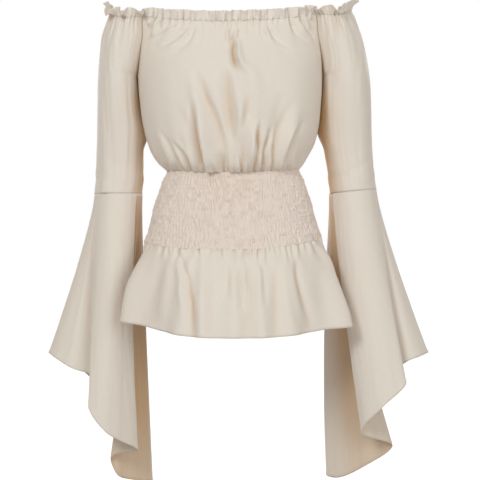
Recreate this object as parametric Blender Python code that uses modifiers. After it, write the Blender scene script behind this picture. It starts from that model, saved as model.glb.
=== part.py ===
"""An off-shoulder peasant top in its worn, hollow form.

It has a gathered bodice, a smocked waist, a peplum, raglan sleeves with draped bell flounces, and
a frill that stands above the neckline elastic. Metres, +Z up. The garment faces -Y, and +X is the
wearer's left. The origin is the centre of the neckline elastic, where the wearer holds the top up.

Every piece is one layer of cloth: a surface through rings of named sizes, whose wall grows inward
from it. An angle round the body starts at the wearer's left side and runs by the back: 0 is the
left side, 90 the back, 180 the right side and 270 the front. A level is a height before the seams'
own dips are added.
"""

from collections import namedtuple

import bmesh
import bpy
import numpy as np

WALL = 0.0015
SEAM_GAP = 0.0003
SIDE_SEAM_GAP = 0.0006
UNDERARM = -0.108
WAIST_TOP = -0.283
WAIST_BOTTOM = -0.416
PEPLUM_HEM = -0.562
PANEL_TOP = 0.011
FRILL_HEIGHT = 0.0180
ELBOW = -0.3225
ELBOW_RISE = {"right": 0.0, "left": 0.009}

# The body of the garment: half widths at the wearer's right and left, and its depth in front of
# and behind the side seams.
BodyLevel = namedtuple("BodyLevel", "level right left front back")
BODY = (
    BodyLevel(-0.562, 0.1650, 0.1720, 0.1650, 0.1350),
    BodyLevel(-0.542, 0.1645, 0.1715, 0.1610, 0.1330),
    BodyLevel(-0.492, 0.1640, 0.1700, 0.1500, 0.1270),
    BodyLevel(-0.456, 0.1635, 0.1685, 0.1380, 0.1200),
    BodyLevel(-0.416, 0.1615, 0.1610, 0.1220, 0.1110),
    BodyLevel(-0.392, 0.1540, 0.1535, 0.1130, 0.1040),
    BodyLevel(-0.359, 0.1465, 0.1450, 0.1030, 0.0940),
    BodyLevel(-0.335, 0.1390, 0.1380, 0.0965, 0.0860),
    BodyLevel(-0.298, 0.1260, 0.1260, 0.0890, 0.0790),
    BodyLevel(-0.283, 0.1195, 0.1205, 0.0870, 0.0770),
    BodyLevel(-0.281, 0.1220, 0.1225, 0.0900, 0.0790),
    BodyLevel(-0.272, 0.1330, 0.1290, 0.1020, 0.0870),
    BodyLevel(-0.258, 0.1440, 0.1370, 0.1120, 0.0930),
    BodyLevel(-0.237, 0.1540, 0.1475, 0.1200, 0.0980),
    BodyLevel(-0.205, 0.1630, 0.1550, 0.1270, 0.1010),
    BodyLevel(-0.152, 0.1705, 0.1600, 0.1320, 0.1010),
    BodyLevel(-0.108, 0.1730, 0.1625, 0.1300, 0.0980),
    BodyLevel(-0.079, 0.1725, 0.1635, 0.1240, 0.0960),
    BodyLevel(-0.035, 0.1735, 0.1625, 0.1080, 0.0910),
    BodyLevel(0.011, 0.1870, 0.1685, 0.0950, 0.0850),
)
FRONT_SQUARENESS = 2.3
BACK_SQUARENESS = 2.0

# How far each level is pushed up or down at the four sides of the body, so that the seams dip.
SeamShift = namedtuple("SeamShift", "level right left front back")
SEAM_SHIFTS = (
    SeamShift(PEPLUM_HEM, 0.0130, 0.0020, -0.017, -0.010),
    SeamShift(WAIST_BOTTOM, 0.000, 0.012, -0.008, -0.004),
    SeamShift(WAIST_TOP, 0.0015, 0.004, -0.005, -0.001),
    SeamShift(UNDERARM, 0.0, 0.0, 0.0, 0.0),
    SeamShift(PANEL_TOP, 0.0, 0.0, 0.0, 0.0),
)
NECK_TILT = 0.013
NECK_DIP_FRONT = 0.029
NECK_DIP_BACK = 0.009
NECK_DIP_CURVE = 1.35

# The raglan seams run from the underarm to the neckline, at this angle from the side seam.
RAGLAN_ANGLE = 18.5
RAGLAN_CURVE = 0.4

# The sleeves' half sections, measured out from the middle of the body. centre is how far behind
# the side seams the arm hangs.
SleeveLevel = namedtuple("SleeveLevel", "level outer inner centre depth")
SLEEVES = {
    "right": (
        SleeveLevel(-0.3225, 0.2557, 0.1675, 0.030, 0.050),
        SleeveLevel(-0.284, 0.2530, 0.1640, 0.028, 0.050),
        SleeveLevel(-0.214, 0.2500, 0.1640, 0.018, 0.054),
        SleeveLevel(-0.166, 0.2485, 0.1715, 0.008, 0.057),
        SleeveLevel(-0.108, 0.2465, 0.1745, 0.000, 0.060),
        SleeveLevel(-0.073, 0.2440, 0.1745, 0.000, 0.063),
        SleeveLevel(-0.035, 0.2395, 0.1745, 0.000, 0.066),
        SleeveLevel(-0.010, 0.2310, 0.1745, 0.000, 0.067),
        SleeveLevel(0.011, 0.2225, 0.1745, 0.000, 0.066),
    ),
    "left": (
        SleeveLevel(-0.3225, 0.2645, 0.1775, 0.030, 0.050),
        SleeveLevel(-0.272, 0.2585, 0.1715, 0.027, 0.051),
        SleeveLevel(-0.214, 0.2545, 0.1630, 0.018, 0.054),
        SleeveLevel(-0.166, 0.2525, 0.1615, 0.008, 0.057),
        SleeveLevel(-0.108, 0.2485, 0.1638, 0.000, 0.060),
        SleeveLevel(-0.073, 0.2425, 0.1638, 0.000, 0.063),
        SleeveLevel(-0.035, 0.2330, 0.1638, 0.000, 0.066),
        SleeveLevel(-0.009, 0.2235, 0.1638, 0.000, 0.067),
        SleeveLevel(0.011, 0.2145, 0.1638, 0.000, 0.066),
    ),
}
SLEEVE_CLEARANCE = 0.0006

# A flounce's fold lines. Each runs from an angle on the elbow ring (0 outer, 90 front, 180 inner,
# 270 back) to a point of the hem. out is measured from the middle of the body, and bow is how far
# the line swings outward half way down.
FoldLine = namedtuple("FoldLine", "name ring out depth height bow", defaults=(0.0,))
FLOUNCES = {
    "right": (
        FoldLine("outer cone", -14, 0.3405, 0.030, -0.616),
        FoldLine("outer cone front", 4, 0.2965, -0.010, -0.641),
        FoldLine("valley behind front lobe", 14, 0.2460, -0.005, -0.662),
        FoldLine("front lobe outer edge", 26, 0.2630, -0.045, -0.706),
        FoldLine("front lobe", 92, 0.2300, -0.055, -0.753),
        FoldLine("front lobe inner edge", 136, 0.1750, -0.008, -0.792, 0.005),
        FoldLine("turned back layer", 164, 0.2240, 0.032, -0.810),
        FoldLine("turned back corner", 174, 0.2150, 0.048, -0.845),
        FoldLine("inner layer", 188, 0.1850, 0.070, -0.857),
        FoldLine("inner edge", 203, 0.1513, 0.095, -0.862),
        FoldLine("back lobe", 224, 0.1750, 0.135, -0.830),
        FoldLine("back valley", 246, 0.2220, 0.118, -0.762),
        FoldLine("back fold", 270, 0.2500, 0.142, -0.698),
        FoldLine("outer back", 300, 0.3000, 0.112, -0.644),
        FoldLine("outer side", 326, 0.3260, 0.070, -0.626),
    ),
    "left": (
        FoldLine("outer cone", -14, 0.3610, 0.030, -0.616),
        FoldLine("outer cone front", 4, 0.3320, -0.010, -0.624),
        FoldLine("valley behind front lobe", 14, 0.2920, -0.005, -0.641),
        FoldLine("front lobe outer edge", 26, 0.3125, -0.045, -0.666),
        FoldLine("front lobe", 92, 0.2700, -0.060, -0.708),
        FoldLine("front lobe inner edge", 146, 0.2310, -0.035, -0.755, -0.002),
        FoldLine("turned back layer", 168, 0.2930, 0.020, -0.789),
        FoldLine("turned back corner", 177, 0.2445, 0.040, -0.827),
        FoldLine("inner layer", 189, 0.1960, 0.070, -0.853, -0.004),
        FoldLine("inner edge", 203, 0.1745, 0.095, -0.851, -0.008),
        FoldLine("back lobe", 224, 0.2030, 0.135, -0.815, -0.004),
        FoldLine("back valley", 246, 0.2500, 0.118, -0.752),
        FoldLine("back fold", 270, 0.2800, 0.142, -0.694),
        FoldLine("outer back", 300, 0.3240, 0.112, -0.642),
        FoldLine("outer side", 326, 0.3490, 0.070, -0.626),
    ),
}
FLARE_POWER = 1.15

# The peplum's front corners swing out past the hips: how far, at each level.
CornerFlare = namedtuple("CornerFlare", "level right left")
CORNER_FLARES = (
    CornerFlare(-0.562, 0.0455, 0.0520),
    CornerFlare(-0.542, 0.0445, 0.0490),
    CornerFlare(-0.492, 0.0370, 0.0320),
    CornerFlare(-0.456, 0.0220, 0.0185),
    CornerFlare(-0.416, 0.000, 0.000),
)
CORNER_ANGLE = 20.0
CORNER_SPREAD = 9.0

# Gathers stand up from a seam and fade away from it over their reach.
Gathers = namedtuple("Gathers", "count height reach seed")
NECK_GATHERS_FRONT = Gathers(20, 0.0032, 0.045, 3)
NECK_GATHERS_BACK = Gathers(15, 0.0032, 0.045, 5)
NECK_GATHERS_SLEEVE = Gathers(8, 0.0030, 0.045, 7)
WAIST_GATHERS_FRONT = Gathers(15, 0.0048, 0.050, 11)
WAIST_GATHERS_BACK = Gathers(15, 0.0042, 0.045, 13)
PEPLUM_GATHERS_FRONT = Gathers(20, 0.0034, 0.030, 17)
PEPLUM_GATHERS_BACK = Gathers(15, 0.0034, 0.030, 19)

# The longest folds: a trough from one point to another of a panel. across is measured along X.
Fold = namedtuple("Fold", "top_across top_level foot_across foot_level width depth")
FRONT_FOLDS = (
    Fold(0.002, -0.028, 0.003, -0.115, 0.0075, 0.0055),
    Fold(-0.066, -0.120, -0.026, -0.275, 0.0090, 0.0050),
    Fold(-0.095, -0.175, -0.050, -0.275, 0.0090, 0.0050),
    Fold(-0.018, -0.110, 0.012, -0.275, 0.0100, 0.0055),
    Fold(0.034, -0.150, 0.030, -0.275, 0.0090, 0.0050),
    Fold(0.092, -0.140, 0.058, -0.275, 0.0100, 0.0055),
    Fold(0.120, -0.190, 0.088, -0.272, 0.0090, 0.0045),
    Fold(0.060, -0.010, 0.098, -0.075, 0.0080, 0.0040),
    Fold(-0.062, -0.010, -0.105, -0.070, 0.0080, 0.0040),
)
BACK_FOLDS = (
    Fold(0.070, -0.120, 0.040, -0.275, 0.0100, 0.0050),
    Fold(0.010, -0.150, 0.004, -0.275, 0.0100, 0.0050),
    Fold(-0.080, -0.130, -0.048, -0.275, 0.0100, 0.0050),
    Fold(-0.055, -0.010, -0.085, -0.075, 0.0080, 0.0040),
)

# The peplum hangs in soft waves: the angle of each crest, its spread and its height at the hem.
Wave = namedtuple("Wave", "angle spread height")
PEPLUM_WAVES = (
    Wave(216, 8.0, 0.010),
    Wave(236, 6.5, 0.009),
    Wave(253, 6.0, 0.011),
    Wave(270, 6.0, 0.008),
    Wave(287, 6.5, 0.011),
    Wave(306, 7.0, 0.009),
    Wave(324, 7.0, 0.008),
    Wave(38, 9.0, 0.007),
    Wave(62, 8.0, 0.010),
    Wave(84, 7.0, 0.009),
    Wave(104, 7.5, 0.010),
    Wave(126, 8.0, 0.009),
    Wave(148, 8.0, 0.007),
)

SMOCK_ROWS = 11
SMOCK_COLUMNS = 40
SMOCK_PLAIN_ROWS = (0, 4, 8, 11)
SMOCK_HEIGHT = 0.0017

# The frill: waves in each stretch, and how many degrees it leans out and its waves swing.
Frill = namedtuple("Frill", "waves columns lean swing phase seed")
FRILL_FRONT = Frill(9.0, 40, 14.0, 14.0, 0.0, 23)
FRILL_BACK = Frill(9.0, 36, 14.0, 14.0, 0.0, 29)
FRILL_SLEEVE = Frill(6.25, 32, 26.0, 38.0, 1.3, 31)
FRILL_ROWS = (0.0, 0.5, 1.0)

BODICE_LOWER_LEVELS = (-0.283, -0.281, -0.273, -0.260, -0.240, -0.205, -0.155, UNDERARM)
UPPER_LEVELS = (-0.088, -0.060, -0.032, -0.008, PANEL_TOP)
SLEEVE_LOWER_LEVELS = (ELBOW, -0.270, -0.214, -0.160, -0.125, UNDERARM)
FRONT_COLUMNS = 60
BACK_COLUMNS = 45
SLEEVE_COLUMNS = 24
PEPLUM_ROWS = (0.0, 0.3, 0.6, 0.82, 0.94, 1.0)
FLOUNCE_ROWS = (0.0, 0.06, 0.22, 0.48, 0.76, 1.0)
FLOUNCE_COLUMNS = 60

FRONT = (180.0, 360.0)
BACK = (0.0, 180.0)
SIDES = {"left": 1.0, "right": -1.0}
SATIN = ("satin", (0.86, 0.80, 0.72, 1.0), 0.55, 0.0)
SMOCKED_SATIN = ("smocked satin", (0.84, 0.76, 0.70, 1.0), 0.65, 0.0)


def smooth_curve(places, values, keep_order=True):
    """A function through points: a cubic that never overshoots them, or with keep_order off one
    that rounds them more freely."""
    places = np.array(places, float)
    values = np.array(values, float)
    step = np.diff(places)
    rise = np.diff(values) / step
    tangent = np.concatenate([rise[:1], (rise[:-1] + rise[1:]) / 2, rise[-1:]])
    if keep_order:
        turns = rise[:-1] * rise[1:] <= 0
        limit = 2 * np.minimum(np.abs(rise[:-1]), np.abs(rise[1:]))
        inner = np.clip(tangent[1:-1], -limit, limit)
        tangent[1:-1] = np.where(turns, 0.0, inner)

    def at(place):
        place = np.clip(place, places[0], places[-1])
        i = np.clip(np.searchsorted(places, place, side="right") - 1, 0, len(step) - 1)
        t = (place - places[i]) / step[i]
        start = (1 + 2 * t) * (1 - t) ** 2 * values[i]
        end = t * t * (3 - 2 * t) * values[i + 1]
        bend = t * (1 - t) ** 2 * tangent[i] + t * t * (t - 1) * tangent[i + 1]
        return start + end + bend * step[i]

    return at


def columns_of(rows):
    """One smooth curve over the level for each other column of a table."""
    rows = sorted(rows, key=lambda row: row.level)
    names = [name for name in rows[0]._fields if name != "level"]
    levels = [row.level for row in rows]
    return {name: smooth_curve(levels, [getattr(r, name) for r in rows]) for name in names}


BODY_CURVES = columns_of(BODY)
SHIFT_CURVES = columns_of(SEAM_SHIFTS)
FLARE_CURVES = columns_of(CORNER_FLARES)
SLEEVE_CURVES = {side: columns_of(rows) for side, rows in SLEEVES.items()}


def uneven(index, seed):
    """A repeatable value from 0 to 1 for each index."""
    return np.abs(np.sin(index * 12.9898 + seed * 78.233) * 43758.5453) % 1.0


def turn_between(a, b):
    """The angle from b to a in degrees, from -180 to 180."""
    return (a - b + 180.0) % 360.0 - 180.0


def body_radius(angle, level):
    """The distance from the axis to the body's plain surface."""
    across = np.cos(np.radians(angle))
    through = np.sin(np.radians(angle))
    half_width = np.where(across >= 0, BODY_CURVES["left"](level), BODY_CURVES["right"](level))
    depth = np.where(through < 0, BODY_CURVES["front"](level), BODY_CURVES["back"](level))
    power = np.where(through < 0, FRONT_SQUARENESS, BACK_SQUARENESS)
    return (np.abs(across / half_width) ** power + np.abs(through / depth) ** power) ** (-1 / power)


def neck_height(across, through, level):
    """The neckline's tilt and its dips at the front and back, which fade down to the underarm."""
    share = np.clip((level - UNDERARM) / (PANEL_TOP - UNDERARM), 0.0, 1.0)
    front = NECK_DIP_FRONT * np.abs(through / BODY[-1].front) ** NECK_DIP_CURVE
    back = NECK_DIP_BACK * np.abs(through / BODY[-1].back) ** NECK_DIP_CURVE
    return share * (NECK_TILT * across - np.where(through < 0, front, back))


def body_height(angle, level, across, through):
    """The real height of a point of the body's surface."""
    side_weight = np.abs(np.cos(np.radians(angle))) ** 3
    side = np.where(
        np.cos(np.radians(angle)) >= 0, SHIFT_CURVES["left"](level), SHIFT_CURVES["right"](level)
    )
    face = np.where(
        np.sin(np.radians(angle)) < 0, SHIFT_CURVES["front"](level), SHIFT_CURVES["back"](level)
    )
    shift = side_weight * side + (1 - side_weight) * face
    return level + shift + neck_height(across, through, level)


def body_point(angle, level, relief=0.0):
    """A point of the body's surface, pushed out by its relief."""
    radius = body_radius(angle, level) + relief
    x = radius * np.cos(np.radians(angle))
    y = radius * np.sin(np.radians(angle))
    return np.stack([x, y, body_height(angle, level, x, y)], axis=-1)


def raglan_angle(level):
    """The raglan seam's angle from the side seam: none at the underarm."""
    share = np.clip((level - UNDERARM) / (PANEL_TOP - UNDERARM), 0.0, 1.0)
    return RAGLAN_ANGLE * share**RAGLAN_CURVE


def panel_angles(face, share, level):
    """The angle round the body at a share of a panel's width, between its two edges."""
    low, high = face
    seam = raglan_angle(level)
    gap = np.degrees(SIDE_SEAM_GAP / 2 / body_radius(low, level))
    start = low + seam + gap
    end = high - seam - gap
    return start + (end - start) * share


def gather_relief(gathers, share, distance):
    """Rounded ridges between the tucks of a gathered seam, uneven in height, length and place."""
    place = share * gathers.count + 0.18 * np.sin(2 * np.pi * (3 * share + gathers.seed))
    place = place - 0.18 * np.sin(2 * np.pi * gathers.seed)
    index = np.floor(place)
    height = gathers.height * (0.6 + 0.6 * uneven(index, gathers.seed))
    reach = gathers.reach * (0.5 + uneven(index + 31, gathers.seed))
    ridge = np.sin(np.pi * (place - index)) ** 2
    return height * ridge * np.exp(-((np.maximum(distance, 0.0) / reach) ** 1.4))


def fold_relief(folds, across, level):
    """Long troughs, deepest in their middle, that taper out at both ends."""
    relief = np.zeros(np.broadcast(across, level).shape)
    for fold in folds:
        share = (level - fold.top_level) / (fold.foot_level - fold.top_level)
        line = fold.top_across + (fold.foot_across - fold.top_across) * share
        taper = np.sin(np.pi * np.clip(share, 0.0, 1.0)) ** 0.8
        relief = relief - fold.depth * taper * np.exp(-(((across - line) / fold.width) ** 2))
    return relief


def edge_fade(share, width=0.08):
    """1 across a panel and 0 at its two side edges."""
    return np.clip(np.minimum(share, 1 - share) / width, 0.0, 1.0)


def bodice_surface(face, columns, neck, waist, folds):
    """Rows of points from the waist seam up to the neckline."""
    levels = np.array(BODICE_LOWER_LEVELS + UPPER_LEVELS)[:, None]
    share = np.linspace(0.0, 1.0, columns + 1)[None, :]
    angle = panel_angles(face, share, levels)
    across = body_radius(angle, levels) * np.cos(np.radians(angle))
    relief = gather_relief(neck, share, PANEL_TOP - levels)
    relief = relief + gather_relief(waist, share, levels - WAIST_TOP)
    relief = relief + fold_relief(folds, across, levels)
    points = body_point(angle, levels, relief * edge_fade(share))
    points[0, :, 2] += SEAM_GAP
    return points


def peplum_relief(angle, level):
    """The swing of the front corners and the soft waves, from nothing at the waist to the hem."""
    fall = np.clip((WAIST_BOTTOM - level) / (WAIST_BOTTOM - PEPLUM_HEM), 0.0, 1.0)
    relief = np.zeros(np.broadcast(angle, level).shape)
    for wave in PEPLUM_WAVES:
        crest = np.exp(-((turn_between(angle, wave.angle) / wave.spread) ** 2))
        relief = relief + wave.height * fall**0.7 * crest
    for side, corner in (("right", 180.0 + CORNER_ANGLE), ("left", 360.0 - CORNER_ANGLE)):
        crest = np.exp(-((turn_between(angle, corner) / CORNER_SPREAD) ** 2))
        relief = relief + FLARE_CURVES[side](level) * crest
    return relief


def peplum_surface(face, columns, gathers):
    """Rows of points from the hem up to the smocking."""
    rows = np.array(PEPLUM_ROWS)[:, None]
    levels = PEPLUM_HEM + (WAIST_BOTTOM - PEPLUM_HEM) * rows
    share = np.linspace(0.0, 1.0, columns + 1)[None, :]
    angle = panel_angles(face, share, levels)
    relief = peplum_relief(angle, levels)
    relief = relief + gather_relief(gathers, share, WAIST_BOTTOM - levels) * edge_fade(share)
    points = body_point(angle, levels, relief)
    points[-1, :, 2] -= SEAM_GAP
    return points


def raglan_point(side, through, level):
    """Where the raglan seam lies on the body, as a distance out and a depth."""
    sign = SIDES[side]
    seam = raglan_angle(level) * through
    angle = seam if sign > 0 else 180.0 - seam
    radius = body_radius(angle, level)
    out = radius * np.abs(np.cos(np.radians(angle)))
    return out + SLEEVE_CLEARANCE, radius * np.sin(np.radians(angle))


def sleeve_outline(side, share, level):
    """Distance out and depth round a sleeve, from its front raglan edge by the outside to the
    back one. Below the underarm both edges are one line."""
    curves = SLEEVE_CURVES[side]
    outer, inner = curves["outer"](level), curves["inner"](level)
    centre, depth = curves["centre"](level), curves["depth"](level)
    level = np.broadcast_to(level, np.broadcast(share, level).shape)
    through = np.where(share < 0.5, -1.0, 1.0)
    seam_out, seam_depth = raglan_point(side, through, level)
    open_top = level > UNDERARM
    start_out = np.where(open_top, seam_out, inner)
    start_depth = np.where(open_top, np.abs(seam_depth), 0.0)
    start = np.arcsin(np.clip(start_depth / depth, 0.0, 1.0))
    half_width = (outer - start_out) / (1 + np.cos(start))
    turn = start + (np.pi - start) * np.where(share < 0.5, 2 * share, 2 - 2 * share)
    out = outer - half_width - half_width * np.cos(turn)
    return out, centre + through * depth * np.sin(turn)


def elbow_height(side, out):
    """The height of the elbow seam, which may rise towards the outside."""
    curves = SLEEVE_CURVES[side]
    inner, outer = curves["inner"](ELBOW), curves["outer"](ELBOW)
    return ELBOW + ELBOW_RISE[side] * (out - inner) / (outer - inner)


def sleeve_surface(side):
    """Rows of points from the elbow seam up to the neckline."""
    levels = np.array(SLEEVE_LOWER_LEVELS + UPPER_LEVELS)[:, None]
    share = np.linspace(0.0, 1.0, SLEEVE_COLUMNS + 1)[None, :]
    out, through = sleeve_outline(side, share, levels)
    relief = gather_relief(NECK_GATHERS_SLEEVE, share, PANEL_TOP - levels) * edge_fade(share, 0.12)
    middle = (SLEEVE_CURVES[side]["outer"](levels) + SLEEVE_CURVES[side]["inner"](levels)) / 2
    reach = np.hypot(out - middle, through)
    out = out + relief * (out - middle) / reach
    through = through + relief * through / reach
    across = out * SIDES[side]
    height = levels + neck_height(across, through, levels)
    height[0] = elbow_height(side, out[0])
    return np.stack(np.broadcast_arrays(across, through, height), axis=-1)


def flounce_surface(side):
    """Rows of points from the hem up to the elbow seam."""
    lines = FLOUNCES[side]
    hem = np.array([(line.out, line.depth, line.height, line.bow) for line in lines])
    steps = np.linalg.norm(np.roll(hem, -1, axis=0)[:, :3] - hem[:, :3], axis=1)
    places = np.concatenate([[0.0], np.cumsum(steps)])
    length = places[-1]
    wrapped = np.concatenate([places[-4:-1] - length, places[:-1], places[:4] + length])
    place = np.linspace(0.0, length, FLOUNCE_COLUMNS + 1)[:-1]
    rings = np.array([line.ring for line in lines], float)
    ring_values = np.concatenate([rings[-3:] - 360.0, rings, rings[:4] + 360.0])
    ring = np.radians(smooth_curve(wrapped, ring_values)(place))

    def round_hem(column):
        values = np.concatenate([hem[-3:, column], hem[:, column], hem[:4, column]])
        return smooth_curve(wrapped, values, keep_order=False)(place)

    curves = SLEEVE_CURVES[side]
    middle = (curves["outer"](ELBOW) + curves["inner"](ELBOW)) / 2
    half_width = (curves["outer"](ELBOW) - curves["inner"](ELBOW)) / 2
    top_out = middle + half_width * np.cos(ring)
    top_depth = curves["centre"](ELBOW) - curves["depth"](ELBOW) * np.sin(ring)
    top_height = elbow_height(side, top_out) - 2 * SEAM_GAP
    fall = 1 - np.array(FLOUNCE_ROWS)[:, None]
    flare = fall**FLARE_POWER
    out = top_out + (round_hem(0) - top_out) * flare + 4 * fall * (1 - fall) * round_hem(3)
    through = top_depth + (round_hem(1) - top_depth) * flare
    height = top_height + (round_hem(2) - top_height) * fall
    return np.stack([out * SIDES[side], through, height], axis=-1)


def frill_strip(edge, frill, flip):
    """A ruffled strip that stands on the line of points along the top of a panel."""
    share = np.linspace(0.0, 1.0, frill.columns + 1)
    line = edge(share)
    along = np.gradient(line[:, :2], axis=0)
    along = along / np.linalg.norm(along, axis=1)[:, None]
    outward = np.stack([along[:, 1], -along[:, 0]], axis=1) * (-1 if flip else 1)
    turns = share * frill.waves + frill.phase / (2 * np.pi)
    size = 0.75 + 0.5 * uneven(np.floor(turns + 0.25), frill.seed)
    swing = frill.swing * size * np.sin(2 * np.pi * turns)
    lean = np.radians((frill.lean + swing) * edge_fade(share, 0.06))
    rows = []
    for rise in FRILL_ROWS:
        row = line.copy()
        row[:, :2] += outward * (FRILL_HEIGHT * rise * np.sin(lean))[:, None]
        row[:, 2] += 2 * SEAM_GAP + FRILL_HEIGHT * rise * np.cos(lean)
        rows.append(row)
    return np.array(rows)


def material(name, colour, roughness, metallic):
    """A plain cloth material."""
    made = bpy.data.materials.get(name) or bpy.data.materials.new(name)
    made.use_nodes = True
    shader = made.node_tree.nodes["Principled BSDF"]
    shader.inputs["Base Color"].default_value = colour
    shader.inputs["Roughness"].default_value = roughness
    shader.inputs["Metallic"].default_value = metallic
    return made


def add_grid(mesh, points, flip, closed_rows=None):
    """Lofts a grid of points. A closed row shares its first vertex with its last column."""
    rows, columns = points.shape[:2]
    closed_rows = np.zeros(rows, bool) if closed_rows is None else closed_rows
    grid = []
    for row in range(rows):
        line = [mesh.verts.new(point) for point in points[row, : columns - closed_rows[row]]]
        grid.append(line + line[:1] if closed_rows[row] else line)
    for row in range(rows - 1):
        for column in range(columns - 1):
            quad = [
                grid[row][column],
                grid[row][column + 1],
                grid[row + 1][column + 1],
                grid[row + 1][column],
            ]
            mesh.faces.new(quad[::-1] if flip else quad)
    return grid


def new_piece(name, mesh, finish, collection):
    """Makes a named object from a bmesh, smooth shaded, with its material."""
    data = bpy.data.meshes.new(name)
    mesh.to_mesh(data)
    mesh.free()
    data.shade_smooth()
    data.materials.append(material(*finish))
    piece = bpy.data.objects.new(name, data)
    collection.objects.link(piece)
    return piece


def cloth_piece(name, points, collection, flip=False, closed_rows=None, finish=SATIN):
    """One layer of cloth: the lofted surface, with its wall grown inward."""
    mesh = bmesh.new()
    add_grid(mesh, points, flip, closed_rows)
    piece = new_piece(name, mesh, finish, collection)
    wall = piece.modifiers.new("wall", "SOLIDIFY")
    wall.thickness = WALL
    wall.offset = -1.0
    return piece


def smocked_piece(name, face, collection):
    """A waist half: puffs raised in its outer points, staggered from row to row, over a plain
    inside."""
    rows = np.arange(SMOCK_ROWS + 1)[:, None]
    columns = np.arange(SMOCK_COLUMNS + 1)[None, :]
    levels = WAIST_BOTTOM + (WAIST_TOP - WAIST_BOTTOM) * rows / SMOCK_ROWS
    angle = panel_angles(face, columns / SMOCK_COLUMNS, levels)
    raised = (rows + columns) % 2 == 1
    raised = raised & (rows > 0) & (rows < SMOCK_ROWS) & (columns > 0) & (columns < SMOCK_COLUMNS)
    outer = body_point(angle, levels, np.where(raised, SMOCK_HEIGHT, 0.0))
    plain = list(SMOCK_PLAIN_ROWS)
    inner = body_point(angle[plain], levels[plain], -WALL)
    mesh = bmesh.new()
    skin = add_grid(mesh, outer, flip=False)
    lining = add_grid(mesh, inner, flip=True)
    for column in range(SMOCK_COLUMNS):
        mesh.faces.new(
            [skin[0][column + 1], skin[0][column], lining[0][column], lining[0][column + 1]]
        )
        mesh.faces.new(
            [skin[-1][column], skin[-1][column + 1], lining[-1][column + 1], lining[-1][column]]
        )
    for low, high in zip(range(len(plain)), range(1, len(plain))):
        steps = range(plain[low], plain[high] + 1)
        start = [skin[row][0] for row in steps]
        end = [skin[row][-1] for row in steps]
        mesh.faces.new(start + [lining[high][0], lining[low][0]])
        mesh.faces.new(end[::-1] + [lining[low][-1], lining[high][-1]])
    return new_piece(name, mesh, SMOCKED_SATIN, collection)


def body_edge(face):
    """The top edge of a bodice panel, as a function of the share of its width."""

    def edge(share):
        level = np.full(share.shape, PANEL_TOP)
        return body_point(panel_angles(face, share, level), level)

    return edge


def sleeve_edge(side):
    """The top edge of a sleeve, as a function of the share of its width."""

    def edge(share):
        level = np.full(share.shape, PANEL_TOP)
        out, through = sleeve_outline(side, share, level)
        across = out * SIDES[side]
        return np.stack([across, through, level + neck_height(across, through, level)], axis=-1)

    return edge


def build():
    for leftover in list(bpy.data.objects):
        bpy.data.objects.remove(leftover)
    collection = bpy.data.collections.new("Off shoulder top")
    bpy.context.scene.collection.children.link(collection)

    front = bodice_surface(
        FRONT, FRONT_COLUMNS, NECK_GATHERS_FRONT, WAIST_GATHERS_FRONT, FRONT_FOLDS
    )
    back = bodice_surface(BACK, BACK_COLUMNS, NECK_GATHERS_BACK, WAIST_GATHERS_BACK, BACK_FOLDS)
    cloth_piece("bodice_front", front, collection)
    cloth_piece("bodice_back", back, collection)
    smocked_piece("waist_front", FRONT, collection)
    smocked_piece("waist_back", BACK, collection)
    peplum_front = peplum_surface(FRONT, FRONT_COLUMNS, PEPLUM_GATHERS_FRONT)
    peplum_back = peplum_surface(BACK, BACK_COLUMNS, PEPLUM_GATHERS_BACK)
    cloth_piece("peplum_front", peplum_front, collection)
    cloth_piece("peplum_back", peplum_back, collection)
    cloth_piece("frill_front", frill_strip(body_edge(FRONT), FRILL_FRONT, False), collection)
    cloth_piece("frill_back", frill_strip(body_edge(BACK), FRILL_BACK, False), collection)

    for side in SIDES:
        mirrored = side == "right"
        levels = np.array(SLEEVE_LOWER_LEVELS + UPPER_LEVELS)
        sleeve = sleeve_surface(side)
        cloth_piece(f"sleeve_{side}", sleeve, collection, mirrored, levels <= UNDERARM)
        hung = flounce_surface(side)
        hung = np.concatenate([hung, hung[:, :1]], axis=1)
        closed = np.ones(len(hung), bool)
        cloth_piece(f"flounce_{side}", hung, collection, not mirrored, closed)
        frill = frill_strip(sleeve_edge(side), FRILL_SLEEVE, mirrored)
        cloth_piece(f"frill_{side}", frill, collection, mirrored)


build()
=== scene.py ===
"""The look of the off-shoulder top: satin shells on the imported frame, in metres.

Every shell follows the form of the solid that it stands for, and adds finer gathers, creases,
smocking, hems, seams and stitches. An angle round the body is 0 at the wearer's left side, 90 at
the back, 180 at the right side and 270 at the front.
"""

import math
from collections import namedtuple

import bpy
import numpy as np
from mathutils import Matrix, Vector


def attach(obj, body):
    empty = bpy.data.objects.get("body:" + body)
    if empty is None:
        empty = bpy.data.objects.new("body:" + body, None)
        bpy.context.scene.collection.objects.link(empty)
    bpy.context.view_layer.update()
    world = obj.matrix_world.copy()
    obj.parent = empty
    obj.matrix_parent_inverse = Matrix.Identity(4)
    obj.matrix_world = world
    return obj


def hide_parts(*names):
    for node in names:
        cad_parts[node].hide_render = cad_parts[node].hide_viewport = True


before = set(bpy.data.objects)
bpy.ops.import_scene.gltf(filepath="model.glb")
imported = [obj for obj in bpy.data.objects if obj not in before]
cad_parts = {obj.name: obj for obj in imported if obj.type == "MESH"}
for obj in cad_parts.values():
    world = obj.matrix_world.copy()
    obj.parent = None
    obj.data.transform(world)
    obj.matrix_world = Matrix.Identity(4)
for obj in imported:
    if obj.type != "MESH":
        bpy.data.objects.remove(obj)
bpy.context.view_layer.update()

SIDE_SEAM_GAP = 0.0006
UNDERARM = -0.108
WAIST_TOP = -0.283
WAIST_BOTTOM = -0.416
PEPLUM_HEM = -0.562
PANEL_TOP = 0.011
FRILL_HEIGHT = 0.0180
ELBOW = -0.3225
ELBOW_RISE = {"right": 0.0, "left": 0.009}

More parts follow.
